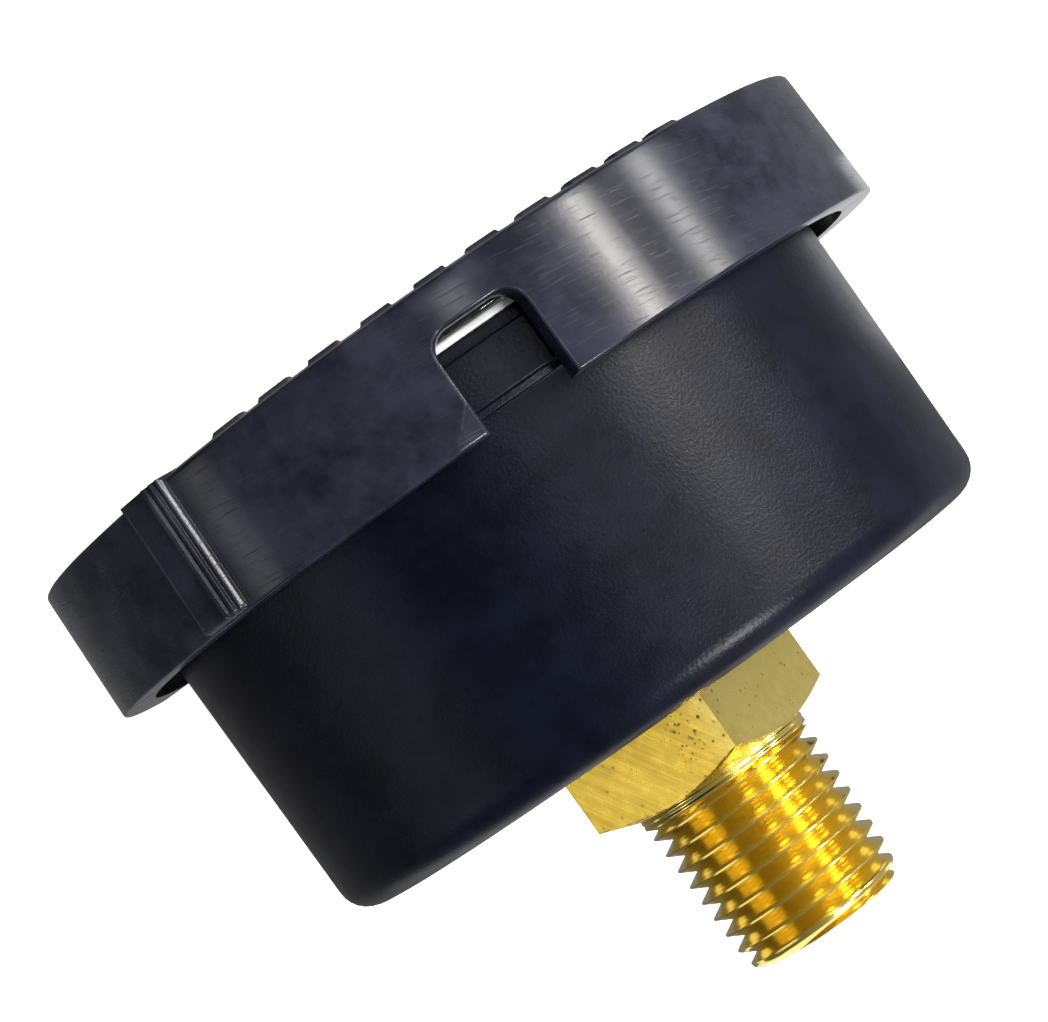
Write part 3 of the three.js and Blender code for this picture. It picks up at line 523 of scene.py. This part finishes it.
def stub_surface(radius, at, phi):
    """The turned outside; rows in the bore keep their own radius, thread rows climb the helix."""
    outside = radius > BORE_LIMIT
    climbing = radius == THREAD_ROW
    climb = at + PITCH * (((phi + 90) % 360) / 360 + THREAD_PHASE)
    at = np.where(climbing, np.clip(climb, 0, THREAD_LENGTH), at)
    thread = thread_radius(at, phi)
    chamfer = np.minimum(5.6 + 1.6 * at, 6.15 + 0.2 * at)
    grooves = RUN_OUT_DEPTH * (0.5 + 0.5 * np.cos(2 * math.pi * (at - RUN_OUT_AT) / RUN_OUT_STEP))
    collar = np.clip(5.4 + (at - COLLAR_START) * COLLAR_SLOPE, 0, COLLAR_RADIUS) - grooves
    turned = np.minimum(np.maximum(thread, np.where(at > COLLAR_START, collar, 0)), chamfer)
    turned = np.where(at < THREAD_LENGTH, turned, collar)
    cone_slope = (SQUARE_DIAGONAL / 2 - COLLAR_RADIUS) / (SQUARE_CORNER_AT - SQUARE_AT)
    cone = COLLAR_RADIUS + (at - SQUARE_AT) * cone_slope
    flat = square_radius(SQUARE, phi, 0.01)
    square = np.minimum(np.maximum(cone, COLLAR_RADIUS), flat)
    relief = square_radius(SQUARE_RELIEF, phi, 0.15)
    shape = np.where(at <= SQUARE_AT, turned, np.where(at < BACK_AT - 0.15, square, relief))
    return np.where(outside, shape, radius), at


def build_stub():
    rows = [(PORT_RADIUS, 0.35), (PORT_RADIUS + 0.35, 0.0), (5.2, 0.0)]
    first = len(rows)
    turns = math.ceil(THREAD_LENGTH / PITCH) + 1
    rows += [(THREAD_ROW, PITCH * (m + f)) for m in range(-2, turns) for f in THREAD_FRACTIONS]
    last = len(rows) - 1
    smooth_rows = [
        *np.linspace(THREAD_LENGTH + 0.04, SQUARE_AT - 0.02, 26),
        *np.linspace(SQUARE_AT, SQUARE_CORNER_AT + 0.05, 26),
        15.5, 17, 18.5, BACK_AT - 0.16, BACK_AT - 0.14, 21, STUB_FRONT_AT,
    ]
    rows += [(TURNED_ROW, at) for at in smooth_rows]
    rows += [(1.0, STUB_FRONT_AT), (1.0, PORT_DEPTH + 0.6), (PORT_RADIUS, PORT_DEPTH)]
    phis = even_angles(180) + near_corners((-0.9, -0.6, -0.3, 0.0, 0.3, 0.6, 0.9))
    phis = [p - 90 for p in sorted(set(round((p + 90) % 360, 4) for p in phis))]

    def seam(row):
        return min(row + len(THREAD_FRACTIONS), last) if first <= row <= last else row

    return revolve(
        "socket_stub", np.array(rows, float), phis, "root", "socket_brass", socket_brass.material,
        shape=stub_surface, seam=seam, stands_for=("socket",), sharp=40,
    )


def build_block():
    """The flange and block inside the case: the CAD socket without its stub."""
    mesh = frame["nodes"]["socket"].data.copy()
    work = bmesh.new()
    work.from_mesh(mesh)
    bmesh.ops.remove_doubles(work, verts=work.verts, dist=1e-6)
    cut = bmesh.ops.bisect_plane(
        work, geom=work.verts[:] + work.edges[:] + work.faces[:],
        plane_co=(0, -(STUB_FRONT_AT - 0.08) * MM, 0), plane_no=(0, 1, 0), clear_outer=True,
    )
    edges = [e for e in cut["geom_cut"] if isinstance(e, bmesh.types.BMEdge)]
    bmesh.ops.triangle_fill(work, edges=edges, use_beauty=True)
    bmesh.ops.recalc_face_normals(work, faces=work.faces)
    work.to_mesh(mesh)
    work.free()
    mesh.materials.clear()
    mesh.materials.append(movement_brass.material)
    obj = bpy.data.objects.new("socket_block", mesh)
    SCENE.collection.objects.link(obj)
    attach(obj, "root")
    return obj


build_stub()
build_block()

# ------------------------------------------------------------------ case, seal, lens
HOLE = SQUARE / 2 + 0.3                 # half the window in the case's back
MORPH = 12.9                            # where the case's rows have become circles


def square_hole(radius, at, phi):
    """Near the middle the case's rows follow the wrench square's outline."""
    weight = np.clip((MORPH - radius) / (MORPH - HOLE), 0, 1)
    return radius + (square_radius(2 * HOLE, phi, 0.25) - HOLE) * weight, at


def build_case():
    outside = [
        (HOLE, BACK_AT, 0.25), (MORPH, BACK_AT, 0), (CASE_BACK_RADIUS, BACK_AT, 2.2),
        (CASE_FRONT_RADIUS, BAND_AT, 0.05), (28.35, BAND_AT, 0.12), (28.42, BAND_AT + 0.45, 0.05),
        (BAND_RADIUS, BAND_AT + 0.55, 0.18), (BAND_RADIUS, BAND_STEP_AT, 0.14),
        (BAND_STEP_RADIUS, BAND_STEP_AT, 0.05), (BAND_STEP_RADIUS, CASE_FRONT_AT, 0.1),
    ]
    inside = [
        (CASE_BORE, CASE_FRONT_AT, 0.1), (CASE_BORE, CASE_FLOOR_AT, 0.6),
        (CASE_BORE - 1, CASE_FLOOR_AT - 1, 0.6), (15, CASE_FLOOR_AT - 1, 0.3),
        (14.5, CASE_PAD_AT, 0.3), (MORPH, CASE_PAD_AT, 0), (HOLE, CASE_PAD_AT, 0.2),
    ]
    phis = even_angles(240) + near_corners((-1, -0.5, 0, 0.5, 1))
    phis = sorted(set(round(p % 360, 4) for p in phis))
    profile = rounded(outside + inside, steps=7)
    revolve(
        "case_cup", profile, phis, "root", "case_plastic", case_black.material,
        shape=square_hole, stands_for=("case",),
    )


def build_window():
    inside = WINDOW_RADIUS - 0.3
    rim_front, face = LENS_AT + 1.6, LENS_AT + 2.1
    lens = rounded([
        (0, LENS_AT, 0), (LENS_RADIUS, LENS_AT, 0.15), (LENS_RADIUS, rim_front, 0.15),
        (inside, rim_front, 0.05), (inside - 0.5, face, 0.3), (0, face, 0),
    ], closed=False)
    revolve(
        "lens_window", lens, even_angles(180), "root", "lens_clear", clear.material,
        stands_for=("lens",),
    )
    low, high = station("lens_gasket"), station("lens_gasket", front=True)
    inner, outer = WINDOW_RADIUS, BAND_STEP_RADIUS
    seal = rounded([(inner, low, 0.12), (outer, low, 0.2), (outer, high, 0.2), (inner, high, 0.12)])
    revolve(
        "seal_ring", seal, even_angles(180), "root", "white_seal", white_rubber.material,
        stands_for=("lens_gasket",),
    )


build_case()
build_window()


# ------------------------------------------------------------------ bezel ring
def drop(distance, edge):
    """How far a rounded edge falls at a distance from it."""
    d = np.clip(distance, 0, edge)
    return edge - np.sqrt(np.maximum(edge * edge - (edge - d) ** 2, 0))


def slot_front(along):
    """Where the slot ends in front, at a distance in millimetres from its nearer side."""
    d = np.clip(SLOT_CORNER - along, 0, SLOT_CORNER)
    return BEZEL_AT + SLOT_LENGTH - SLOT_CORNER + np.sqrt(SLOT_CORNER**2 - d * d)


ARC = math.radians(1) * BEZEL_REAR_RADIUS          # millimetres in one degree
SLOT_SIDE_END = BEZEL_AT + SLOT_LENGTH - SLOT_CORNER


def slot_distance(at, phi):
    """Distance outside the nearest slot's outline, in millimetres."""
    best = np.full(np.shape(at), 99.0)
    for third in THIRDS:
        side = (np.abs(angle_from(phi, SLOT_ANGLE + third)) - SLOT_HALF) * ARC
        across = np.maximum(side + SLOT_CORNER, 0)
        ahead = np.maximum(at - SLOT_SIDE_END, 0)
        best = np.minimum(best, np.where(ahead > 0, np.hypot(across, ahead) - SLOT_CORNER, side))
    return np.maximum(best, 0)


def skirt_radius(at, phi):
    """The ring's outside, with its grips, rounded edges and pry ramps."""
    behind = at - BEZEL_AT
    radius = BEZEL_REAR_RADIUS + (BEZEL_FRONT_RADIUS - BEZEL_REAR_RADIUS) * behind / BEZEL_LONG
    for half in HALVES:
        off = angle_from(phi, GRIP_ANGLE + half)
        length = bump_over(behind, 0.3, BEZEL_LONG + 1, 0.3)
        land = smooth((off + GRIP_HALF) / 0.24) * smooth((GRIP_HALF - off) / 0.9) * GRIP_RISE
        ridges = EDGE_BEAD * np.exp(-np.abs((off + GRIP_HALF - 0.2) / 0.14) ** 2)
        for middle, wide, rise in RIDGES:
            ridges = ridges + rise * np.exp(-np.abs((off - middle) / wide) ** 2.6)
        radius = radius + (land + ridges) * length
    radius = radius - drop(behind, 0.22) - drop(slot_distance(at, phi), 0.2)
    for third in THIRDS:
        along = (SLOT_ANGLE - SLOT_HALF - angle_from(phi, third)) * ARC
        depth = RAMP_DEEP * (1 - along / RAMP - behind / RAMP)
        softened = RAMP_CREASE * np.log1p(np.exp(np.clip(depth / RAMP_CREASE, -30, 30)))
        radius = radius - np.where(along > -0.01, softened, 0)
    return radius


def bar_angles(third):
    return [BAR_ANGLE + third + BAR_STEP * (k - (BAR_COUNT - 1) / 2) for k in range(BAR_COUNT)]


def bars(radius, phi):
    """Raised bars on the front face."""
    wide = 0
    for third in THIRDS:
        for middle in bar_angles(third):
            wide = wide + bump_over(angle_from(phi, middle), -BAR_HALF, BAR_HALF, 0.35)
    return BAR_RISE * wide * bump_over(radius, 28.6, 30.2, 0.25)


def bezel_columns():
    """The columns' angles, close together where the ring has detail, and its slots' edges."""
    phis = [k * 1.0 for k in range(360)]
    edges = []
    for third in THIRDS:
        low, high = SLOT_ANGLE + third - SLOT_HALF, SLOT_ANGLE + third + SLOT_HALF
        edges += [(low % 360, high % 360)]
        near = [0.0, 0.04, 0.09, 0.15, 0.22]
        phis += [low - d / ARC for d in near + [0.35 + 0.15 * k for k in range(17)]]
        phis += [high + d / ARC for d in near]
        arc = [SLOT_CORNER * (1 - math.cos(math.pi / 2 * k / 9)) for k in range(10)]
        phis += [low + d / ARC for d in arc] + [high - d / ARC for d in arc]
        for middle in bar_angles(third):
            for edge in (-BAR_HALF, BAR_HALF):
                phis += [middle + edge + e for e in (-0.18, -0.06, 0.06, 0.18)]
    for half in HALVES:
        phis += [GRIP_ANGLE + half - 4.6 + 0.12 * k for k in range(78)]
    exact = sorted({round(e, 5) for pair in edges for e in pair})
    kept = list(exact)
    for phi in sorted({round(p % 360, 5) for p in phis}):
        if all(abs(angle_from(phi, k)) > 0.03 for k in kept[-1:] + exact):
            kept.append(phi)
    return np.array(sorted(kept)), edges


def build_bezel():
    phis, edges = bezel_columns()
    count = len(phis)
    opened = np.zeros(count, bool)       # is the gap from this column to the next one a slot
    start = np.full(count, SLOT_SIDE_END)
    for low, high in edges:
        span = (high - low) % 360
        offset = (phis - low + 1e-4) % 360
        inside = offset < span + 2e-4
        opened |= offset < span - 1e-3
        along = np.minimum(offset, span - offset) * ARC
        start = np.where(inside, slot_front(np.maximum(along, 0)), start)

    shoulder = BEZEL_AT + BEZEL_LONG
    front = rounded([
        (BEZEL_FRONT_RADIUS, shoulder - 0.8, 0), (BEZEL_FRONT_RADIUS, shoulder, 0.28),
        (30.35, 50.81, 0), (30.05, 50.84, 0), (29.4, 50.9, 0.8), (28.75, 50.89, 0),
        (28.45, 50.88, 0), (27.2, 50.8, 0.5),
        (WINDOW_RADIUS, shoulder, 0.2), (WINDOW_RADIUS, BEZEL_LIP_AT, 0.12),
        (BEZEL_BORE, BEZEL_LIP_AT, 0.1), (BEZEL_BORE, BEZEL_LIP_AT - 0.3, 0),
    ], closed=False, steps=5)
    steps = np.concatenate([np.linspace(0, 0.22, 7), np.linspace(0.3, 1, 9)])
    rise = BEZEL_AT + BEZEL_LONG - 0.9
    back_rows = [SLOT_SIDE_END - 0.45 * k for k in range(1, 5)]
    back_rows += list(np.arange(back_rows[-1] - 0.16, BEZEL_AT + 0.3, -0.16))
    back_rows += [BEZEL_AT + e for e in (0.22, 0.15, 0.09, 0.04, 0.0)]
    bore_rows = [BEZEL_AT + e for e in (0.0, 0.3, 0.4, 1.0, 1.1, 2.5)]
    lug_middle = SLOT_ANGLE + 60

    points = []
    loop_front, loop_back = [], []
    for i, phi in enumerate(phis):
        at = start[i] + steps * (rise - start[i])
        outer = np.stack([skirt_radius(at, np.full_like(at, phi)), at], 1)
        face = front[1:].copy()
        grip = skirt_radius(np.array([rise]), np.array([phi]))[0] - BEZEL_FRONT_RADIUS - 0.027
        face[:, 0] += grip * smooth((face[:, 0] - 31.2) / 0.8)
        face[:, 1] += bars(face[:, 0], phi)
        ahead = LAND_FRONT_AT - face[:, 1]
        onto_land = smooth(grip / GRIP_RISE) * smooth((face[:, 0] - 30.7) / 0.15)
        face[:, 1] += np.clip(ahead, 0, 0.5) * onto_land
        bore = np.array([[BEZEL_BORE, start[i]]])
        loop = np.concatenate([outer, face, bore])
        loop_front.append(len(points) + np.arange(len(loop)))
        points += list(polar_points(loop[:, 0], loop[:, 1], phi))

        at = np.array(back_rows)
        skirt = np.stack([skirt_radius(at, np.full_like(at, phi)), at], 1)
        lug = sum(
            bump_over(angle_from(phi, lug_middle + third), -LUG_HALF, LUG_HALF, 0.6)
            for third in THIRDS
        )
        inner = [
            [BEZEL_BORE - LUG_RISE * lug * (0.35 < e - BEZEL_AT < 1.05), e] for e in bore_rows
        ]
        loop = np.concatenate([skirt, np.array(inner)])
        loop_back.append(len(points) + np.arange(len(loop)))
        points += list(polar_points(loop[:, 0], loop[:, 1], phi))

    faces = []
    for i in range(count):
        k = (i + 1) % count
        a, b = loop_front[i], loop_front[k]
        for j in range(len(a) - 1):
            faces.append((a[j], b[j], b[j + 1], a[j + 1]))
        if opened[i]:
            faces.append((a[0], a[-1], b[-1], b[0]))
            continue
        c, d = loop_back[i], loop_back[k]
        c = np.concatenate([[a[0]], c, [a[-1]]])
        d = np.concatenate([[b[0]], d, [b[-1]]])
        for j in range(len(c) - 1):
            faces.append((c[j], c[j + 1], d[j + 1], d[j]))
    for i in range(count):
        if opened[i] != opened[i - 1]:
            a, c = loop_front[i], loop_back[i]
            faces.append(tuple([a[0], *c, a[-1]]))
    used = sorted({v for face in faces for v in face})
    renumber = {v: n for n, v in enumerate(used)}
    faces = [tuple(renumber[v] for v in face) for face in faces]
    points = [points[v] for v in used]
    finish_piece(
        "bezel_moulding", points, faces, "bezel", "bezel_plastic", bezel_black.material,
        sharp=38, stands_for=("bezel_ring",),
    )


build_bezel()

# ------------------------------------------------------------------ dial print
DIAL_START = 225
DIAL_SPAN = 270
PRINT_LIFT = 0.02
PRINT_THICK = 0.03
NUMBER_RADIUS = 15.2
NUMBER_SIZE = 4.4
SCALE_RADIUS = 23.4
TRACK_STEPS = 135


def dial_bar(points, faces, angle, inner, outer, half):
    """A thin printed bar standing on the dial, at a clockwise angle from 12 o'clock."""
    t = math.radians(angle)
    along, side = np.array([math.sin(t), math.cos(t)]), np.array([math.cos(t), -math.sin(t)])
    base = len(points)
    for lift in (PRINT_LIFT, PRINT_LIFT + PRINT_THICK):
        for r, s in ((inner, -half), (outer, -half), (outer, half), (inner, half)):
            x, z = along * r + side * s
            points.append((x, -(DIAL_FACE_AT + lift), z))
    faces += [tuple(base + k for k in q) for q in ((0, 1, 2, 3), (4, 5, 6, 7))]
    faces += [tuple(base + k for k in (i, (i + 1) % 4, (i + 1) % 4 + 4, i + 4)) for i in range(4)]


def build_scale():
    points, faces = [], []
    for k in range(101):
        angle = DIAL_START + DIAL_SPAN * k / 100
        if k % 10 == 0:
            inner, half = 18.6, 0.26
        elif k % 5 == 0:
            inner, half = 20.4, 0.16
        else:
            inner, half = 21.6, 0.09
        dial_bar(points, faces, angle, inner, SCALE_RADIUS, half)
    for k in range(TRACK_STEPS):
        middle = DIAL_START + DIAL_SPAN * (k + 0.5) / TRACK_STEPS
        dial_bar(points, faces, middle, SCALE_RADIUS, SCALE_RADIUS + 0.25, 0.242)
    finish_piece("dial_scale", points, faces, "root", "pointer_enamel", ink.material, sharp=20)


def build_number(value):
    text = bpy.data.curves.new(f"number_{value}", "FONT")
    text.body = str(value)
    text.size = NUMBER_SIZE * MM
    text.align_x = "CENTER"
    text.align_y = "CENTER"
    text.extrude = PRINT_THICK / 2 * MM
    text.offset = 0.06 * MM
    source = bpy.data.objects.new("number_source", text)
    SCENE.collection.objects.link(source)
    bpy.context.view_layer.update()
    mesh = bpy.data.meshes.new_from_object(source)
    bpy.data.objects.remove(source)
    t = math.radians(DIAL_START + DIAL_SPAN * value / 100)
    height = DIAL_FACE_AT + PRINT_LIFT + PRINT_THICK / 2
    place = Vector((math.sin(t) * NUMBER_RADIUS, -height, math.cos(t) * NUMBER_RADIUS)) * MM
    mesh.transform(Matrix.Translation(place) @ Matrix.Rotation(math.pi / 2, 4, "X"))
    mesh.materials.clear()
    mesh.materials.append(ink.material)
    obj = bpy.data.objects.new(f"dial_number_{value}", mesh)
    SCENE.collection.objects.link(obj)
    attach(obj, "root")


build_scale()
for number in range(0, 101, 20):
    build_number(number)


# ------------------------------------------------------------------ Bourdon tube
TUBE_RADIUS = 19
TUBE_MIDDLE_AT = 31
TUBE_HALF_THICK = 1.1
TUBE_HALF_STRAIGHT = 2.4
TUBE_WALL = 0.35


def build_tube():
    """The flattened C-tube, a fixed coil from its root to its tip."""
    turn = np.radians(np.linspace(-91.5, -346, 120))
    section = []
    for side, start in ((1, -90), (-1, 90)):
        for k in range(9):
            t = math.radians(start + 180 * k / 8)
            along = TUBE_HALF_THICK * math.cos(t) + side * TUBE_HALF_STRAIGHT
            section.append((along, TUBE_HALF_THICK * math.sin(t)))
    count = len(section)
    points = []
    for grow in (0.0, -TUBE_WALL):
        size = 1 + grow / TUBE_HALF_THICK
        for theta in turn:
            for along, out in section:
                radius = TUBE_RADIUS + out * size
                centre = math.copysign(TUBE_HALF_STRAIGHT, along)
                at = TUBE_MIDDLE_AT + (along - centre) * size + centre
                points.append((radius * math.cos(theta), -at, radius * math.sin(theta)))
    rows = len(turn)
    faces = []
    for shell in (0, rows * count):
        for i in range(rows - 1):
            for j in range(count):
                k = (j + 1) % count
                a, b = shell + i * count, shell + (i + 1) * count
                faces.append((a + j, b + j, b + k, a + k))
    for end in (0, rows - 1):
        for j in range(count):
            k = (j + 1) % count
            a, b = end * count, rows * count + end * count
            faces.append((a + j, a + k, b + k, b + j))
    tube = finish_piece("bourdon_coil", points, faces, None, "spring_bronze", bronze.material)
    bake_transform(tube)
    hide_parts("bourdon_tube")


build_tube()

# ------------------------------------------------------------------ carried-over CAD nodes
FINISHES = {
    "socket_brass": movement_brass,
    "movement_brass": movement_brass,
    "spring_bronze": bronze,
    "steel": steel,
    "dark_seal": dark_rubber,
    "dial_enamel": dial_white,
    "pointer_enamel": pointer_black,
}
BEVELS = {"pointer": 0.08, "pointer_hub": 0.12, "dial_plate": 0.1}


def dress_cad_nodes():
    """Materials and broken edges for the CAD nodes that stay visible."""
    slots = {row["node"]: row["material_slot"] for row in frame["record"]["subparts"]}
    for name, obj in frame["nodes"].items():
        if obj.hide_render:
            continue
        obj.data.materials.clear()
        obj.data.materials.append(FINISHES[slots[name]].material)
        bevel = obj.modifiers.new("broken_edges", "BEVEL")
        bevel.width = BEVELS.get(name, 0.05) * MM
        bevel.segments = 2
        bevel.limit_method = "ANGLE"
        bevel.angle_limit = math.radians(35)


dress_cad_nodes()


# ------------------------------------------------------------------ camera
def build_camera():
    """Above and a little behind the gauge, rolled so that the axis runs down to the right."""
    roll, tilt, away = math.radians(35.31), math.radians(1.70), 250.0
    to_front = np.array([
        -math.sin(roll) * math.cos(tilt), -math.cos(roll) * math.cos(tilt), math.sin(tilt)
    ])
    to_left = np.array([math.cos(roll), -math.sin(roll), 0.0])
    to_top = np.cross(to_left, to_front)
    to_top = to_top if to_top[2] < 0 else -to_top
    basis = np.stack([-to_left, -to_front, to_top], axis=1)     # rows: right, down, forward
    right, down, forward = basis
    target = np.array([0, -BEZEL_AT, 0])
    offset = np.array([-1.73, -3.91, away])
    place = (target - offset @ basis) * MM
    matrix = np.eye(4)
    matrix[:3, 0], matrix[:3, 1], matrix[:3, 2], matrix[:3, 3] = right, -down, -forward, place
    camera = bpy.data.objects.new("camera", bpy.data.cameras.new("camera"))
    camera.data.sensor_fit = "HORIZONTAL"
    camera.data.sensor_width = 36
    camera.data.lens = 120.2
    camera.data.clip_start = 0.01
    camera.matrix_world = Matrix(matrix.tolist())
    SCENE.collection.objects.link(camera)
    SCENE.camera = camera


build_camera()


# ------------------------------------------------------------------ floor and light
FLOOR_Z = -34 * MM


def build_floor():
    """White paper under the gauge, which glows a little and isn't mirrored in it."""
    mesh = bpy.data.meshes.new("floor")
    work = bmesh.new()
    bmesh.ops.create_grid(work, x_segments=24, y_segments=24, size=1.6)
    work.to_mesh(mesh)
    work.free()
    floor = bpy.data.objects.new("floor", mesh)
    floor.location.z = FLOOR_Z
    SCENE.collection.objects.link(floor)
    paper = Shader("floor_paper", (0.9, 0.9, 0.9), 0.9, Specular_IOR_Level=0.0)
    paper.set("Emission Color", (1, 1, 1, 1))
    paper.set("Emission Strength", 0.85)
    paper.bump(paper.noise(1.5, 2), 0.002)
    mesh.materials.append(paper.material)
    floor.visible_glossy = False


def softbox(name, phi, at, away, width, length, power, color=(1, 1, 1)):
    """A rectangular light seen at phi round the axis, its middle at a station along it."""
    phi = math.radians(phi)
    back = Vector((-math.sin(phi), 0, math.cos(phi)))
    up = Vector((0, 1, 0))
    side = up.cross(back)
    middle = Vector((0, -at * MM, 0))
    light = bpy.data.lights.new(name, "AREA")
    light.shape = "RECTANGLE"
    light.size, light.size_y = width, length
    light.energy = power
    light.color = color
    obj = bpy.data.objects.new(name, light)
    turn = Matrix((side, up, back)).transposed().to_4x4()
    obj.matrix_world = Matrix.Translation(middle + back * away) @ turn
    SCENE.collection.objects.link(obj)


def build_world():
    """A grey surround, darker on one side of the gauge than on the other."""
    world = bpy.data.worlds.new("studio")
    world.use_nodes = True
    tree = world.node_tree
    back = tree.nodes["Background"]
    coordinates = tree.nodes.new("ShaderNodeTexCoord")
    split = tree.nodes.new("ShaderNodeSeparateXYZ")
    tree.links.new(coordinates.outputs["Generated"], split.inputs[0])
    across = tree.nodes.new("ShaderNodeMapRange")
    across.inputs["From Min"].default_value = 0.9
    across.inputs["From Max"].default_value = -0.9
    across.inputs["To Min"].default_value = 0.12
    across.inputs["To Max"].default_value = 0.42
    tree.links.new(split.outputs["X"], across.inputs["Value"])
    tree.links.new(across.outputs["Result"], back.inputs["Strength"])
    back.inputs["Color"].default_value = (1, 1, 1, 1)
    SCENE.world = world


build_floor()
build_world()
softbox("strip_near", 49.5, 80, 0.42, 0.032, 0.13, 0.9, (1, 0.97, 0.9))
softbox("strip_far", 71, 80, 0.42, 0.035, 0.13, 0.5, (1, 0.98, 0.93))
softbox("strip_left", -64, 80, 0.42, 0.06, 0.13, 0.07)
softbox("slot_light", 12, 80, 0.42, 0.05, 0.1, 0.16)
softbox("case_glow", 47, 12, 0.42, 0.07, 0.09, 0.17)
softbox("back_glint", 27, -190, 0.36, 0.1, 0.05, 2.0)
softbox("left_wall", -68, -38, 0.42, 0.3, 0.1, 0.085)
softbox("back_wall", 60, -330, 0.12, 0.4, 0.3, 0.35)
softbox("floor_glow", 180, -60, 0.033, 0.14, 0.1, 0.045)
softbox("end_glow", 128.6, 38, 0.0537, 0.03, 0.016, 0.0012)

SCENE.view_settings.view_transform = "Standard"
SCENE.view_settings.look = "None"
